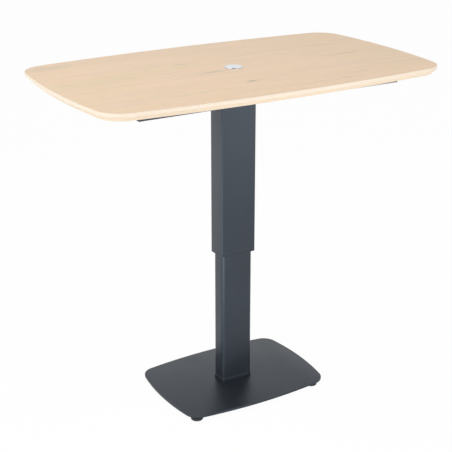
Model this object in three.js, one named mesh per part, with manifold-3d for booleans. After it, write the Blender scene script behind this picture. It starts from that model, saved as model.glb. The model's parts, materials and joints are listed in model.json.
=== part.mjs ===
// A standing meeting table: a barrel-shaped wooden top on a two-stage electric lifting column and a steel base plate.
// Millimetres, +Z up. The origin is on the floor under the middle of the column, X runs along the long side of the
// top and -Y is the front. The table is modelled raised to its full height.

import * as THREE from "three";
import { mergeVertices } from "three/addons/utils/BufferGeometryUtils.js";
import Module from "manifold-3d";

const kernel = await Module();
kernel.setup();

// Table top: each side is a shallow arc, and the bow is how far its middle stands out past its ends.
const TOP_LENGTH = 1200;
const TOP_WIDTH = 700;
const TOP_LONG_BOW = 30;
const TOP_SHORT_BOW = 28;
const TOP_CORNER_RADIUS = 85;
const TOP_THICKNESS = 25;
const TOP_EDGE_BEVEL = 15;
const TOP_ARRIS = 1;

// Cable grommet in the middle of the top.
const GROMMET_HOLE_RADIUS = 27;
const GROMMET_WALL = 2.2;
const GROMMET_FLANGE_RADIUS = 29.5;
const GROMMET_FLANGE_THICKNESS = 1.2;
const GROMMET_SLEEVE_DEPTH = 22;
const GROMMET_CAP_RADIUS = 28.5;
const GROMMET_CAP_THICKNESS = 2.4;
const GROMMET_SKIRT_WALL = 2;
const GROMMET_SKIRT_DEPTH = 9;
const GROMMET_NOTCH_WIDTH = 12;
const GROMMET_NOTCH_DEPTH = 13;
const GROMMET_NOTCH_ANGLE = -117;

// Steel frame under the top: two long rails and two crossbars of one tube section.
const RAIL_SETBACK = 103.5;
const RAIL_END_SETBACK = 151.7;
const BAR_WIDTH = 40;
const BAR_DEPTH = 27;
const BAR_WALL = 2;
const BAR_CORNER_RADIUS = 3;
const CROSSBAR_SPACING = 190;
const RAIL_CAP_THICKNESS = 3;
const RAIL_PLUG_LENGTH = 14;
const TOP_SCREW_END = 40;
const TOP_SCREW_INNER_X = 150;
const TOP_SCREW_RADIUS = 2.5;
const TOP_SCREW_BITE = 18;
const TOP_SCREW_HEAD_RADIUS = 5;
const TOP_SCREW_HEAD_HEIGHT = 3.2;
const DRIVER_HOLE_RADIUS = 7;

// Head plate that joins the column to the crossbars.
const HEAD_PLATE_WIDTH = 166;
const HEAD_PLATE_MARGIN = 36;
const HEAD_PLATE_THICKNESS = 6;
const HEAD_PLATE_CORNER_RADIUS = 12;
const HEAD_BOLT_SPREAD = 130;
const HEAD_BOLT_RADIUS = 4;
const HEAD_BOLT_ACROSS_FLATS = 13;
const HEAD_BOLT_HEAD_HEIGHT = 5.3;
const HEAD_BOLT_REACH = 16;

// Column: the lower tube's section follows from the upper tube, its wall and the room for the guides.
const UPPER_TUBE_X = 125;
const UPPER_TUBE_Y = 70;
const UPPER_TUBE_CORNER_RADIUS = 3.2;
const UPPER_TUBE_LENGTH = 552;
const LOWER_TUBE_CORNER_RADIUS = 12;
const LOWER_TUBE_LENGTH = 554;
const TUBE_WALL = 2;
const GUIDE_ROOM = 4;
const GUIDE_HEIGHT = 40;
const GUIDE_LIP = 2;
const RAISED_OVERLAP = 100;

// Drive inside the column: a gear motor in the head turns a screw that runs in a nut on a standing tube.
const GEARBOX_HEIGHT = 36;
const GEARBOX_SIDE_ROOM = 3;
const MOTOR_RADIUS = 20;
const MOTOR_LENGTH = 88;
const MOTOR_ROOM = 6.5;
const MOTOR_SHAFT_RADIUS = 4;
const MOTOR_SHAFT_LENGTH = 14;
const MOTOR_CAP_RADIUS = 15;
const MOTOR_CAP_HEIGHT = 8;
const SCREW_RADIUS = 7;
const SCREW_TAIL = 16;
const SCREW_COLLAR_RADIUS = 11;
const SCREW_COLLAR_HEIGHT = 4;
const SCREW_END_LENGTH = 10;
const BEARING_RADIUS = 16;
const BEARING_WIDTH = 9;
const NUT_TUBE_RADIUS = 15;
const NUT_TUBE_WALL = 3;
const NUT_TUBE_ROOM = 11.5;
const NUT_FLANGE_THICKNESS = 5;
const NUT_LENGTH = 30;
const NUT_DROP = 6;

// Base: a barrel-shaped steel plate and the welded flange that the column stands on.
const BASE_LENGTH = 550;
const BASE_WIDTH = 400;
const BASE_LONG_BOW = 20;
const BASE_SHORT_BOW = 20;
const BASE_CORNER_RADIUS = 49;
const BASE_THICKNESS = 8;
const BASE_ARRIS = 0.8;
const FLANGE_STEP = 2.5;
const FLANGE_THICKNESS = 8;
const BASE_BOLT_INSET_X = 14.5;
const BASE_BOLT_INSET_Y = 10;
const BASE_BOLT_RADIUS = 4;
const BASE_BOLT_HEAD_RADIUS = 8;
const BASE_BOLT_HEAD_HEIGHT = 4.4;
const BASE_BOLT_KEY_ACROSS_FLATS = 5;
const BASE_BOLT_KEY_DEPTH = 2.5;

// Levelling feet: a pad that doesn't turn, a stud that screws in a nut welded under the plate.
const FOOT_INSET_X = 51;
const FOOT_INSET_Y = 52;
const PAD_RADIUS = 20;
const PAD_HEIGHT = 12.4;
const PAD_EDGE_RADIUS = 2.5;
const PAD_HUB_RADIUS = 13;
const PAD_SOCKET_FLOOR = 4;
const STUD_RADIUS = 5;
const STUD_CHAMFER = 1;
const STUD_COVER = 2.2;
const FOOT_NUT_ACROSS_FLATS = 17;
const FOOT_NUT_HEIGHT = 8;

// Control box on the underside of the top, on the right of the column.
const BOX_LENGTH = 230;
const BOX_WIDTH = 96;
const BOX_DEPTH = 34;
const BOX_WALL = 2.5;
const BOX_CORNER_RADIUS = 8;
const BOX_PLATE_THICKNESS = 2;
const BOX_PLATE_EAR = 14;
const BOX_ROOM = 56;
const SOCKET_WIDTH = 12;
const SOCKET_HEIGHT = 9;
const SOCKET_SPACING = 19;
const SOCKET_COUNT = 3;
const INLET_WIDTH = 27;
const INLET_HEIGHT = 20;
const INLET_LENGTH = 22;
const INLET_RIM = 2.5;
const INLET_WALL = 2;
const INLET_FLOOR = 4;

// Two-button handset on the underside, near the rear edge of the top.
const HANDSET_END_SETBACK = 300;
const HANDSET_SETBACK = 6;
const HANDSET_LENGTH = 84;
const HANDSET_WIDTH = 46;
const HANDSET_DEPTH = 19;
const HANDSET_CORNER_RADIUS = 6;
const BUTTON_LENGTH = 24;
const BUTTON_HEIGHT = 10;
const BUTTON_SPACING = 34;
const BUTTON_CORNER_RADIUS = 2.5;
const BUTTON_PROUD = 2.5;
const BUTTON_POCKET_DEPTH = 8;
const BUTTON_TRAVEL = 1.5;

// Clearances: pieces that are fixed face to face, and pieces that slide or turn.
const SEAT_GAP = 0.3;
const RUN_GAP = 0.3;

// Steps in the curves.
const SIDE_STEPS = 20;
const CORNER_STEPS = 12;
const ROUND_STEPS = 32;
const SMALL_STEPS = 14;

// Heights above the floor.
const plateBottom = PAD_HEIGHT + RUN_GAP + FOOT_NUT_HEIGHT + SEAT_GAP;
const plateTop = plateBottom + BASE_THICKNESS;
const flangeBottom = plateTop + SEAT_GAP;
const flangeTop = flangeBottom + FLANGE_THICKNESS;
const lowerTubeBottom = flangeTop + SEAT_GAP;
const lowerTubeTop = lowerTubeBottom + LOWER_TUBE_LENGTH;
const upperTubeBottom = lowerTubeTop - RAISED_OVERLAP;
const upperTubeTop = upperTubeBottom + UPPER_TUBE_LENGTH;
const headPlateBottom = upperTubeTop + SEAT_GAP;
const headPlateTop = headPlateBottom + HEAD_PLATE_THICKNESS;
const barBottom = headPlateTop + SEAT_GAP;
const barTop = barBottom + BAR_DEPTH;
const topUnderside = barTop + SEAT_GAP;

// Sections that follow from their neighbours.
const upperBoreX = UPPER_TUBE_X - 2 * TUBE_WALL;
const upperBoreY = UPPER_TUBE_Y - 2 * TUBE_WALL;
const upperBoreRadius = UPPER_TUBE_CORNER_RADIUS - TUBE_WALL;
const lowerTubeX = upperBoreX - 2 * GUIDE_ROOM;
const lowerTubeY = upperBoreY - 2 * GUIDE_ROOM;
const lowerBoreX = lowerTubeX - 2 * TUBE_WALL;
const lowerBoreY = lowerTubeY - 2 * TUBE_WALL;
const lowerBoreRadius = LOWER_TUBE_CORNER_RADIUS - TUBE_WALL;
const railLength = TOP_LENGTH - 2 * (RAIL_END_SETBACK + RAIL_CAP_THICKNESS + SEAT_GAP);
const railY = TOP_WIDTH / 2 - RAIL_SETBACK - BAR_WIDTH / 2;
const crossbarX = CROSSBAR_SPACING / 2;
const crossbarLength = 2 * railY - BAR_WIDTH - 2 * SEAT_GAP;
const motorX = lowerBoreX / 2 - MOTOR_RADIUS - MOTOR_ROOM;
const screwX = NUT_TUBE_ROOM + NUT_TUBE_RADIUS - lowerBoreX / 2;
const baseBoltX = lowerBoreX / 2 - BASE_BOLT_INSET_X;
const baseBoltY = lowerBoreY / 2 - BASE_BOLT_INSET_Y;
const footX = BASE_LENGTH / 2 - FOOT_INSET_X;
const footY = BASE_WIDTH / 2 - FOOT_INSET_Y;
const boxX = crossbarX + BAR_WIDTH / 2 + BOX_ROOM + BOX_PLATE_EAR + BOX_LENGTH / 2;
const handsetX = HANDSET_END_SETBACK - TOP_LENGTH / 2;

const steelBlack = { color: 0x33363a, roughness: 0.55, metalness: 0.2 };
const plasticBlack = { color: 0x1d1e20, roughness: 0.6, metalness: 0 };
const zinc = { color: 0xb4b6b8, roughness: 0.35, metalness: 0.9 };
const silver = { color: 0xc9ccd2, roughness: 0.35, metalness: 0.6 };
const wood = { color: 0xe8d0b4, roughness: 0.5, metalness: 0 };
const bronze = { color: 0xa98752, roughness: 0.4, metalness: 0.9 };

function piece(name, geometry, look) {
  const mesh = new THREE.Mesh(geometry, new THREE.MeshStandardMaterial(look));
  mesh.name = name;
  return mesh;
}

function toSolid(geometry) {
  const bare = geometry.clone();
  bare.deleteAttribute("normal");
  bare.deleteAttribute("uv");
  const merged = mergeVertices(bare, 1e-4);
  return new kernel.Manifold(
    new kernel.Mesh({
      numProp: 3,
      vertProperties: merged.getAttribute("position").array,
      triVerts: new Uint32Array(merged.index.array),
    }),
  );
}

function toGeometry(solid) {
  const mesh = solid.getMesh();
  const geometry = new THREE.BufferGeometry();
  geometry.setAttribute("position", new THREE.BufferAttribute(mesh.vertProperties, 3));
  geometry.setIndex(new THREE.BufferAttribute(mesh.triVerts, 1));
  geometry.computeVertexNormals();
  return geometry;
}

function cut(geometry, tools) {
  return toGeometry(kernel.Manifold.difference([toSolid(geometry), ...tools.map(toSolid)]));
}

function join(geometries) {
  return toGeometry(kernel.Manifold.union(geometries.map(toSolid)));
}

function roundedRectangle(width, depth, radius, target = new THREE.Shape()) {
  const x = width / 2 - radius;
  const y = depth / 2 - radius;
  target.absarc(x, y, radius, 0, Math.PI / 2);
  target.absarc(-x, y, radius, Math.PI / 2, Math.PI);
  target.absarc(-x, -y, radius, Math.PI, 1.5 * Math.PI);
  target.absarc(x, -y, radius, 1.5 * Math.PI, 2 * Math.PI);
  return target;
}

function extrude(shape, height, steps) {
  return new THREE.ExtrudeGeometry(shape, { depth: height, bevelEnabled: false, curveSegments: steps });
}

// A prism with rounded corners that stands on z = 0.
function block(width, depth, height, radius, steps = 3) {
  return extrude(roundedRectangle(width, depth, radius), height, steps);
}

// A ring of rounded-rectangle section that stands on z = 0: outer and bore are [width, depth, corner radius].
function frame(outer, bore, height, steps = 4) {
  const shape = roundedRectangle(...outer);
  shape.holes.push(roundedRectangle(...bore, new THREE.Path()));
  return extrude(shape, height, steps);
}

function boxAt(width, depth, height, x, y, z) {
  return new THREE.BoxGeometry(width, depth, height).translate(x, y, z);
}

// A round rod along Z from bottom to top.
function rod(radius, bottom, top, steps = SMALL_STEPS) {
  return new THREE.CylinderGeometry(radius, radius, top - bottom, steps)
    .rotateX(Math.PI / 2)
    .translate(0, 0, (bottom + top) / 2);
}

// A hexagonal rod along Z from bottom to top.
function hexagon(acrossFlats, bottom, top) {
  return rod(acrossFlats / Math.sqrt(3), bottom, top, 6);
}

// A body turned about Z from [radius, z] points that run from the bottom up on the outside.
function turned(profile, steps = ROUND_STEPS) {
  const points = profile.map(([radius, z]) => new THREE.Vector2(radius, z));
  return new THREE.LatheGeometry(points, steps).rotateX(Math.PI / 2);
}

// A turned ring, whose profile closes on itself.
function turnedRing(profile, steps = ROUND_STEPS) {
  return turned([...profile, profile[0]], steps);
}

// A tube along X whose underside is on z = 0.
function bar(length) {
  const bore = [BAR_WIDTH - 2 * BAR_WALL, BAR_DEPTH - 2 * BAR_WALL, BAR_CORNER_RADIUS - BAR_WALL];
  const alongX = new THREE.Matrix4().makeBasis(
    new THREE.Vector3(0, 1, 0),
    new THREE.Vector3(0, 0, 1),
    new THREE.Vector3(1, 0, 0),
  );
  return frame([BAR_WIDTH, BAR_DEPTH, BAR_CORNER_RADIUS], bore, length, 1)
    .translate(0, 0, -length / 2)
    .applyMatrix4(alongX)
    .translate(0, 0, BAR_DEPTH / 2);
}

// The arcs of a barrel outline: the centre and radius of a long side and of a short side, and a corner's centre.
function barrel(length, width, longBow, shortBow, cornerRadius) {
  const endX = length / 2 - shortBow;
  const endY = width / 2 - longBow;
  const longRadius = (endX * endX + longBow * longBow) / (2 * longBow);
  const shortRadius = (endY * endY + shortBow * shortBow) / (2 * shortBow);
  const longCentre = new THREE.Vector2(0, width / 2 - longRadius);
  const shortCentre = new THREE.Vector2(length / 2 - shortRadius, 0);
  const between = shortCentre.clone().sub(longCentre);
  const distance = between.length();
  const longReach = longRadius - cornerRadius;
  const shortReach = shortRadius - cornerRadius;
  const along = (distance * distance + longReach * longReach - shortReach * shortReach) / (2 * distance);
  const aside = Math.sqrt(longReach * longReach - along * along);
  const unit = between.divideScalar(distance);
  const cornerCentre = new THREE.Vector2(
    longCentre.x + unit.x * along + unit.y * aside,
    longCentre.y + unit.y * along - unit.x * aside,
  );
  return { longRadius, shortRadius, cornerRadius, longCentre, shortCentre, cornerCentre };
}

// The outline's points, anticlockwise, drawn in by an inset. Every inset gives the same number of points.
function barrelPoints(arcs, inset) {
  const fromShort = arcs.cornerCentre.clone().sub(arcs.shortCentre).angle();
  const fromLong = arcs.cornerCentre.clone().sub(arcs.longCentre).angle();
  const quarter = [];
  const addArc = (centre, radius, start, end, steps) => {
    for (let i = 0; i < steps; i++) {
      const angle = start + ((end - start) * i) / steps;
      quarter.push([centre.x + (radius - inset) * Math.cos(angle), centre.y + (radius - inset) * Math.sin(angle)]);
    }
  };
  addArc(arcs.shortCentre, arcs.shortRadius, 0, fromShort, SIDE_STEPS / 2);
  addArc(arcs.cornerCentre, arcs.cornerRadius, fromShort, fromLong, CORNER_STEPS);
  addArc(arcs.longCentre, arcs.longRadius, fromLong, Math.PI / 2, SIDE_STEPS / 2);
  const back = quarter.slice(1).reverse();
  const longMiddle = [0, arcs.longCentre.y + arcs.longRadius - inset];
  const upperHalf = [...quarter, longMiddle, ...back.map(([x, y]) => [-x, y])];
  return [...upperHalf, ...upperHalf.map(([x, y]) => [-x, -y])].map(([x, y]) => new THREE.Vector2(x, y));
}

// A slab whose outline steps through [inset, z] levels from the bottom up.
function barrelSlab(arcs, levels) {
  const positions = [];
  const indices = [];
  const rings = levels.map(([inset]) => barrelPoints(arcs, inset));
  const count = rings[0].length;
  rings.forEach((ring, level) => ring.forEach((p) => positions.push(p.x, p.y, levels[level][1])));
  for (let level = 0; level + 1 < rings.length; level++) {
    for (let i = 0; i < count; i++) {
      const a = level * count + i;
      const b = level * count + ((i + 1) % count);
      indices.push(a, b, b + count, a, b + count, a + count);
    }
  }
  const last = (rings.length - 1) * count;
  THREE.ShapeUtils.triangulateShape(rings[0], []).forEach(([a, b, c]) => indices.push(a, c, b));
  THREE.ShapeUtils.triangulateShape(rings[rings.length - 1], []).forEach(([a, b, c]) =>
    indices.push(last + a, last + b, last + c),
  );
  const geometry = new THREE.BufferGeometry();
  geometry.setAttribute("position", new THREE.Float32BufferAttribute(positions, 3));
  geometry.setIndex(indices);
  geometry.computeVertexNormals();
  return geometry;
}

const sides = [-1, 1];
const corners = sides.flatMap((y) => sides.map((x) => ({ x, y })));

// Base plate, flange and bolts.

const base = new THREE.Group();
const studTop = plateTop - STUD_COVER;
const baseArcs = barrel(BASE_LENGTH, BASE_WIDTH, BASE_LONG_BOW, BASE_SHORT_BOW, BASE_CORNER_RADIUS);
const basePlate = barrelSlab(baseArcs, [
  [BASE_ARRIS, 0],
  [0, BASE_ARRIS],
  [0, BASE_THICKNESS - BASE_ARRIS],
  [BASE_ARRIS, BASE_THICKNESS],
]);
const studHole = rod(STUD_RADIUS + RUN_GAP, -1, studTop + RUN_GAP - plateBottom);
const boltHole = turned([
  [0, -1],
  [BASE_BOLT_HEAD_RADIUS + SEAT_GAP, -1],
  [BASE_BOLT_HEAD_RADIUS + SEAT_GAP, 0],
  [BASE_BOLT_RADIUS + SEAT_GAP, BASE_BOLT_HEAD_HEIGHT],
  [BASE_BOLT_RADIUS + SEAT_GAP, BASE_THICKNESS + 1],
  [0, BASE_THICKNESS + 1],
], SMALL_STEPS);
const plate = piece(
  "base_plate",
  cut(basePlate, [
    ...corners.map(({ x, y }) => studHole.clone().translate(x * footX, y * footY, 0)),
    ...corners.map(({ x, y }) => boltHole.clone().translate(x * baseBoltX, y * baseBoltY, 0)),
  ]),
  steelBlack,
);
plate.position.z = plateBottom;
base.add(plate);

const flangeOutline = [
  lowerTubeX + 2 * FLANGE_STEP,
  lowerTubeY + 2 * FLANGE_STEP,
  FLANGE_THICKNESS,
  LOWER_TUBE_CORNER_RADIUS + FLANGE_STEP,
];
const flangeHole = rod(BASE_BOLT_RADIUS + SEAT_GAP, -1, FLANGE_THICKNESS + 1);
const flange = piece(
  "column_flange",
  cut(
    block(...flangeOutline, 4),
    corners.map(({ x, y }) => flangeHole.clone().translate(x * baseBoltX, y * baseBoltY, 0)),
  ),
  steelBlack,
);
flange.position.z = flangeBottom;
base.add(flange);

const baseBoltLength = BASE_THICKNESS + SEAT_GAP + FLANGE_THICKNESS;
const baseBoltBody = turned([
  [0, 0],
  [BASE_BOLT_HEAD_RADIUS, 0],
  [BASE_BOLT_RADIUS, BASE_BOLT_HEAD_HEIGHT],
  [BASE_BOLT_RADIUS, baseBoltLength],
  [0, baseBoltLength],
], SMALL_STEPS);
const baseBoltShape = cut(baseBoltBody, [hexagon(BASE_BOLT_KEY_ACROSS_FLATS, -1, BASE_BOLT_KEY_DEPTH)]);
corners.forEach(({ x, y }, i) => {
  const bolt = piece(`base_bolt_${i + 1}`, baseBoltShape.clone(), zinc);
  bolt.position.set(x * baseBoltX, y * baseBoltY, plateBottom);
  base.add(bolt);
});

// Levelling feet.

const padEdge = [0, 30, 60].map((degrees) => {
  const angle = THREE.MathUtils.degToRad(degrees);
  const inner = PAD_RADIUS - PAD_EDGE_RADIUS;
  return [inner + PAD_EDGE_RADIUS * Math.sin(angle), PAD_EDGE_RADIUS * (1 - Math.cos(angle))];
});
const socketRadius = STUD_RADIUS + RUN_GAP;
const padShape = turned([
  [0, 0],
  ...padEdge,
  [PAD_RADIUS, PAD_EDGE_RADIUS],
  [PAD_RADIUS, PAD_HEIGHT - 2 * PAD_EDGE_RADIUS],
  [PAD_HUB_RADIUS, PAD_HEIGHT],
  [socketRadius, PAD_HEIGHT],
  [socketRadius, PAD_SOCKET_FLOOR],
  [0, PAD_SOCKET_FLOOR],
]);
const studBottom = PAD_SOCKET_FLOOR + RUN_GAP;
const studShape = turned([
  [0, studBottom],
  [STUD_RADIUS - STUD_CHAMFER, studBottom],
  [STUD_RADIUS, studBottom + STUD_CHAMFER],
  [STUD_RADIUS, studTop - STUD_CHAMFER],
  [STUD_RADIUS - STUD_CHAMFER, studTop],
  [0, studTop],
], SMALL_STEPS);
const footNutBottom = plateBottom - SEAT_GAP - FOOT_NUT_HEIGHT;
const footNutShape = cut(hexagon(FOOT_NUT_ACROSS_FLATS, 0, FOOT_NUT_HEIGHT), [
  rod(socketRadius, -1, FOOT_NUT_HEIGHT + 1),
]);
const feet = new THREE.Group();
corners.forEach(({ x, y }, i) => {
  const foot = new THREE.Group();
  foot.position.set(x * footX, y * footY, 0);
  const nut = piece(`foot_nut_${i + 1}`, footNutShape.clone(), steelBlack);
  nut.position.z = footNutBottom;
  foot.add(
    piece(`foot_pad_${i + 1}`, padShape.clone(), plasticBlack),
    piece(`foot_stud_${i + 1}`, studShape.clone(), zinc),
    nut,
  );
  feet.add(foot);
});

// Column tubes and the guides between them.

const column = new THREE.Group();
const lowerOuter = [lowerTubeX, lowerTubeY, LOWER_TUBE_CORNER_RADIUS];
const lowerBore = [lowerBoreX, lowerBoreY, lowerBoreRadius];
const upperOuter = [UPPER_TUBE_X, UPPER_TUBE_Y, UPPER_TUBE_CORNER_RADIUS];
const upperBore = [upperBoreX, upperBoreY, upperBoreRadius];
const roundLower = [lowerTubeX + 2 * RUN_GAP, lowerTubeY + 2 * RUN_GAP, LOWER_TUBE_CORNER_RADIUS + RUN_GAP];
const insideUpper = [upperBoreX - 2 * RUN_GAP, upperBoreY - 2 * RUN_GAP, upperBoreRadius];

const lowerTube = piece("lower_tube", frame(lowerOuter, lowerBore, LOWER_TUBE_LENGTH), steelBlack);
lowerTube.position.z = lowerTubeBottom;
const upperTube = piece("upper_tube", frame(upperOuter, upperBore, UPPER_TUBE_LENGTH), steelBlack);
upperTube.position.z = upperTubeBottom;

// The crown guide sits over the end of the lower tube and slides in the upper one.
const crownGuide = piece(
  "crown_guide",
  join([
    frame(insideUpper, roundLower, GUIDE_HEIGHT + GUIDE_LIP),
    frame(insideUpper, lowerBore, GUIDE_LIP).translate(0, 0, GUIDE_HEIGHT),
  ]),
  plasticBlack,
);
crownGuide.position.z = lowerTubeTop + SEAT_GAP - GUIDE_HEIGHT;

// The mouth guide closes the end of the upper tube and slides on the lower one.
const mouthGuide = piece(
  "mouth_guide",
  join([
    frame(upperOuter, roundLower, GUIDE_LIP).translate(0, 0, -GUIDE_LIP),
    frame(insideUpper, roundLower, GUIDE_HEIGHT + GUIDE_LIP).translate(0, 0, -GUIDE_LIP),
  ]),
  plasticBlack,
);
mouthGuide.position.z = upperTubeBottom - SEAT_GAP;
column.add(lowerTube, upperTube, crownGuide, mouthGuide);

// Drive.

const drive = new THREE.Group();
const gearboxTop = headPlateBottom - SEAT_GAP;
const gearboxBottom = gearboxTop - GEARBOX_HEIGHT;
const gearboxY = upperBoreY - 2 * GEARBOX_SIDE_ROOM;
const bearingSeat = rod(BEARING_RADIUS + SEAT_GAP, -1, BEARING_WIDTH + SEAT_GAP, ROUND_STEPS);
const screwEndBore = rod(SCREW_RADIUS + RUN_GAP, -1, BEARING_WIDTH + SCREW_END_LENGTH + RUN_GAP);
const motorShaftBore = rod(MOTOR_SHAFT_RADIUS + RUN_GAP, -1, MOTOR_SHAFT_LENGTH + RUN_GAP);
const gearbox = piece(
  "gearbox",
  cut(block(upperBoreX - 2 * GEARBOX_SIDE_ROOM, gearboxY, GEARBOX_HEIGHT, gearboxY / 2 - 1, 6), [
    bearingSeat.translate(screwX, 0, 0),
    screwEndBore.translate(screwX, 0, 0),
    motorShaftBore.translate(motorX, 0, 0),
  ]),
  zinc,
);
gearbox.position.z = gearboxBottom;

const motorTop = gearboxBottom - SEAT_GAP;
const motor = piece(
  "motor",
  turned([
    [0, -MOTOR_LENGTH],
    [MOTOR_CAP_RADIUS, -MOTOR_LENGTH],
    [MOTOR_CAP_RADIUS, MOTOR_CAP_HEIGHT - MOTOR_LENGTH],
    [MOTOR_RADIUS, MOTOR_CAP_HEIGHT - MOTOR_LENGTH],
    [MOTOR_RADIUS, 0],
    [MOTOR_SHAFT_RADIUS, 0],
    [MOTOR_SHAFT_RADIUS, MOTOR_SHAFT_LENGTH],
    [0, MOTOR_SHAFT_LENGTH],
  ]),
  zinc,
);
motor.position.set(motorX, 0, motorTop);

const screwBoreRadius = SCREW_RADIUS + RUN_GAP;
const bearing = piece(
  "screw_bearing",
  turnedRing([
    [screwBoreRadius, 0],
    [BEARING_RADIUS, 0],
    [BEARING_RADIUS, BEARING_WIDTH],
    [screwBoreRadius, BEARING_WIDTH],
  ]),
  zinc,
);
bearing.position.set(screwX, 0, gearboxBottom);

const nutTop = lowerTubeTop - NUT_DROP;
const nutBottom = nutTop - NUT_LENGTH;
const nutFlangeBottom = nutTop - NUT_FLANGE_THICKNESS;
const nutBodyRadius = NUT_TUBE_RADIUS - NUT_TUBE_WALL - SEAT_GAP;
const nut = piece(
  "screw_nut",
  turnedRing([
    [screwBoreRadius, nutBottom],
    [nutBodyRadius, nutBottom],
    [nutBodyRadius, nutFlangeBottom],
    [NUT_TUBE_RADIUS, nutFlangeBottom],
    [NUT_TUBE_RADIUS, nutTop],
    [screwBoreRadius, nutTop],
  ]),
  bronze,
);
nut.position.x = screwX;

const nutTubeBottom = flangeTop + SEAT_GAP;
const nutTubeTop = nutFlangeBottom - SEAT_GAP;
const nutTube = piece(
  "nut_tube",
  turnedRing([
    [NUT_TUBE_RADIUS - NUT_TUBE_WALL, nutTubeBottom],
    [NUT_TUBE_RADIUS, nutTubeBottom],
    [NUT_TUBE_RADIUS, nutTubeTop],
    [NUT_TUBE_RADIUS - NUT_TUBE_WALL, nutTubeTop],
  ]),
  zinc,
);
nutTube.position.x = screwX;

const screwBottom = nutBottom - SCREW_TAIL;
const collarTop = gearboxBottom - RUN_GAP;
const screwTop = gearboxBottom + BEARING_WIDTH + SCREW_END_LENGTH;
const screw = piece(
  "lift_screw",
  turned([
    [0, screwBottom],
    [SCREW_RADIUS - 1, screwBottom],
    [SCREW_RADIUS, screwBottom + 1],
    [SCREW_RADIUS, collarTop - SCREW_COLLAR_HEIGHT],
    [SCREW_COLLAR_RADIUS, collarTop - SCREW_COLLAR_HEIGHT],
    [SCREW_COLLAR_RADIUS, collarTop],
    [SCREW_RADIUS, collarTop],
    [SCREW_RADIUS, screwTop],
    [0, screwTop],
  ]),
  zinc,
);
screw.position.x = screwX;
drive.add(gearbox, motor, bearing, nut, nutTube, screw);

// Frame under the top.

const underframe = new THREE.Group();
const screwOuterX = railLength / 2 - TOP_SCREW_END;
const screwXs = [-screwOuterX, -TOP_SCREW_INNER_X, TOP_SCREW_INNER_X, screwOuterX];
const screwClearance = TOP_SCREW_RADIUS + SEAT_GAP;
const railHoles = screwXs.flatMap((x) => [
  rod(DRIVER_HOLE_RADIUS, -1, BAR_DEPTH / 2).translate(x, 0, 0),
  rod(screwClearance, BAR_DEPTH / 2, BAR_DEPTH + 1).translate(x, 0, 0),
]);
const railShape = cut(bar(railLength), railHoles);
const plugWidth = BAR_WIDTH - 2 * BAR_WALL - 2 * SEAT_GAP;
const plugDepth = BAR_DEPTH - 2 * BAR_WALL - 2 * SEAT_GAP;
const capShape = join([
  boxAt(RAIL_CAP_THICKNESS, BAR_WIDTH, BAR_DEPTH, RAIL_CAP_THICKNESS / 2, 0, 0),
  boxAt(RAIL_PLUG_LENGTH, plugWidth, plugDepth, -RAIL_PLUG_LENGTH / 2, 0, 0),
]);
const screwHeadTop = BAR_DEPTH - BAR_WALL - SEAT_GAP;
const topScrewTop = BAR_DEPTH + SEAT_GAP + TOP_SCREW_BITE;
const topScrewShape = turned([
  [0, screwHeadTop - TOP_SCREW_HEAD_HEIGHT],
  [TOP_SCREW_HEAD_RADIUS - 1, screwHeadTop - TOP_SCREW_HEAD_HEIGHT],
  [TOP_SCREW_HEAD_RADIUS, screwHeadTop - 1],
  [TOP_SCREW_HEAD_RADIUS, screwHeadTop],
  [TOP_SCREW_RADIUS, screwHeadTop],
  [TOP_SCREW_RADIUS, topScrewTop],
  [0, topScrewTop],
], SMALL_STEPS);
const railNames = { "-1": "front", 1: "rear" };
const endNames = { "-1": "left", 1: "right" };
let screwNumber = 0;
for (const side of sides) {
  const rail = new THREE.Group();
  rail.position.set(0, side * railY, barBottom);
  rail.add(piece(`rail_${railNames[side]}`, railShape.clone(), steelBlack));
  for (const end of sides) {
    const cap = piece(`rail_cap_${railNames[side]}_${endNames[end]}`, capShape.clone(), plasticBlack);
    cap.rotation.z = end < 0 ? Math.PI : 0;
    cap.position.set(end * (railLength / 2 + SEAT_GAP), 0, BAR_DEPTH / 2);
    rail.add(cap);
  }
  for (const x of screwXs) {
    screwNumber += 1;
    const topScrew = piece(`top_screw_${screwNumber}`, topScrewShape.clone(), zinc);
    topScrew.position.x = x;
    rail.add(topScrew);
  }
  underframe.add(rail);
}

const headBoltHole = rod(HEAD_BOLT_RADIUS + SEAT_GAP, -HEAD_PLATE_THICKNESS - 1, BAR_DEPTH / 2);
const boltYs = [-HEAD_BOLT_SPREAD / 2, HEAD_BOLT_SPREAD / 2];
const crossbarShape = cut(
  bar(crossbarLength),
  boltYs.map((y) => headBoltHole.clone().translate(y, 0, 0)),
);
for (const side of sides) {
  const crossbar = piece(`crossbar_${endNames[side]}`, crossbarShape.clone(), steelBlack);
  crossbar.rotation.z = Math.PI / 2;
  crossbar.position.set(side * crossbarX, 0, barBottom);
  underframe.add(crossbar);
}

const headPlateLength = CROSSBAR_SPACING + 2 * HEAD_PLATE_MARGIN;
const headPlate = piece(
  "head_plate",
  cut(
    block(headPlateLength, HEAD_PLATE_WIDTH, HEAD_PLATE_THICKNESS, HEAD_PLATE_CORNER_RADIUS),
    corners.map(({ x, y }) => headBoltHole.clone().translate((x * CROSSBAR_SPACING) / 2, (y * HEAD_BOLT_SPREAD) / 2, 0)),
  ),
  steelBlack,
);
headPlate.position.z = headPlateBottom;
underframe.add(headPlate);

const headBoltTop = SEAT_GAP + HEAD_PLATE_THICKNESS + HEAD_BOLT_REACH;
const headBoltShape = join([
  hexagon(HEAD_BOLT_ACROSS_FLATS, -HEAD_BOLT_HEAD_HEIGHT, 0),
  rod(HEAD_BOLT_RADIUS, -1, headBoltTop),
]);
corners.forEach(({ x, y }, i) => {
  const bolt = piece(`head_bolt_${i + 1}`, headBoltShape.clone(), zinc);
  bolt.position.set(x * crossbarX, (y * HEAD_BOLT_SPREAD) / 2, headPlateBottom - SEAT_GAP);
  underframe.add(bolt);
});

// Table top and grommet.

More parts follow.
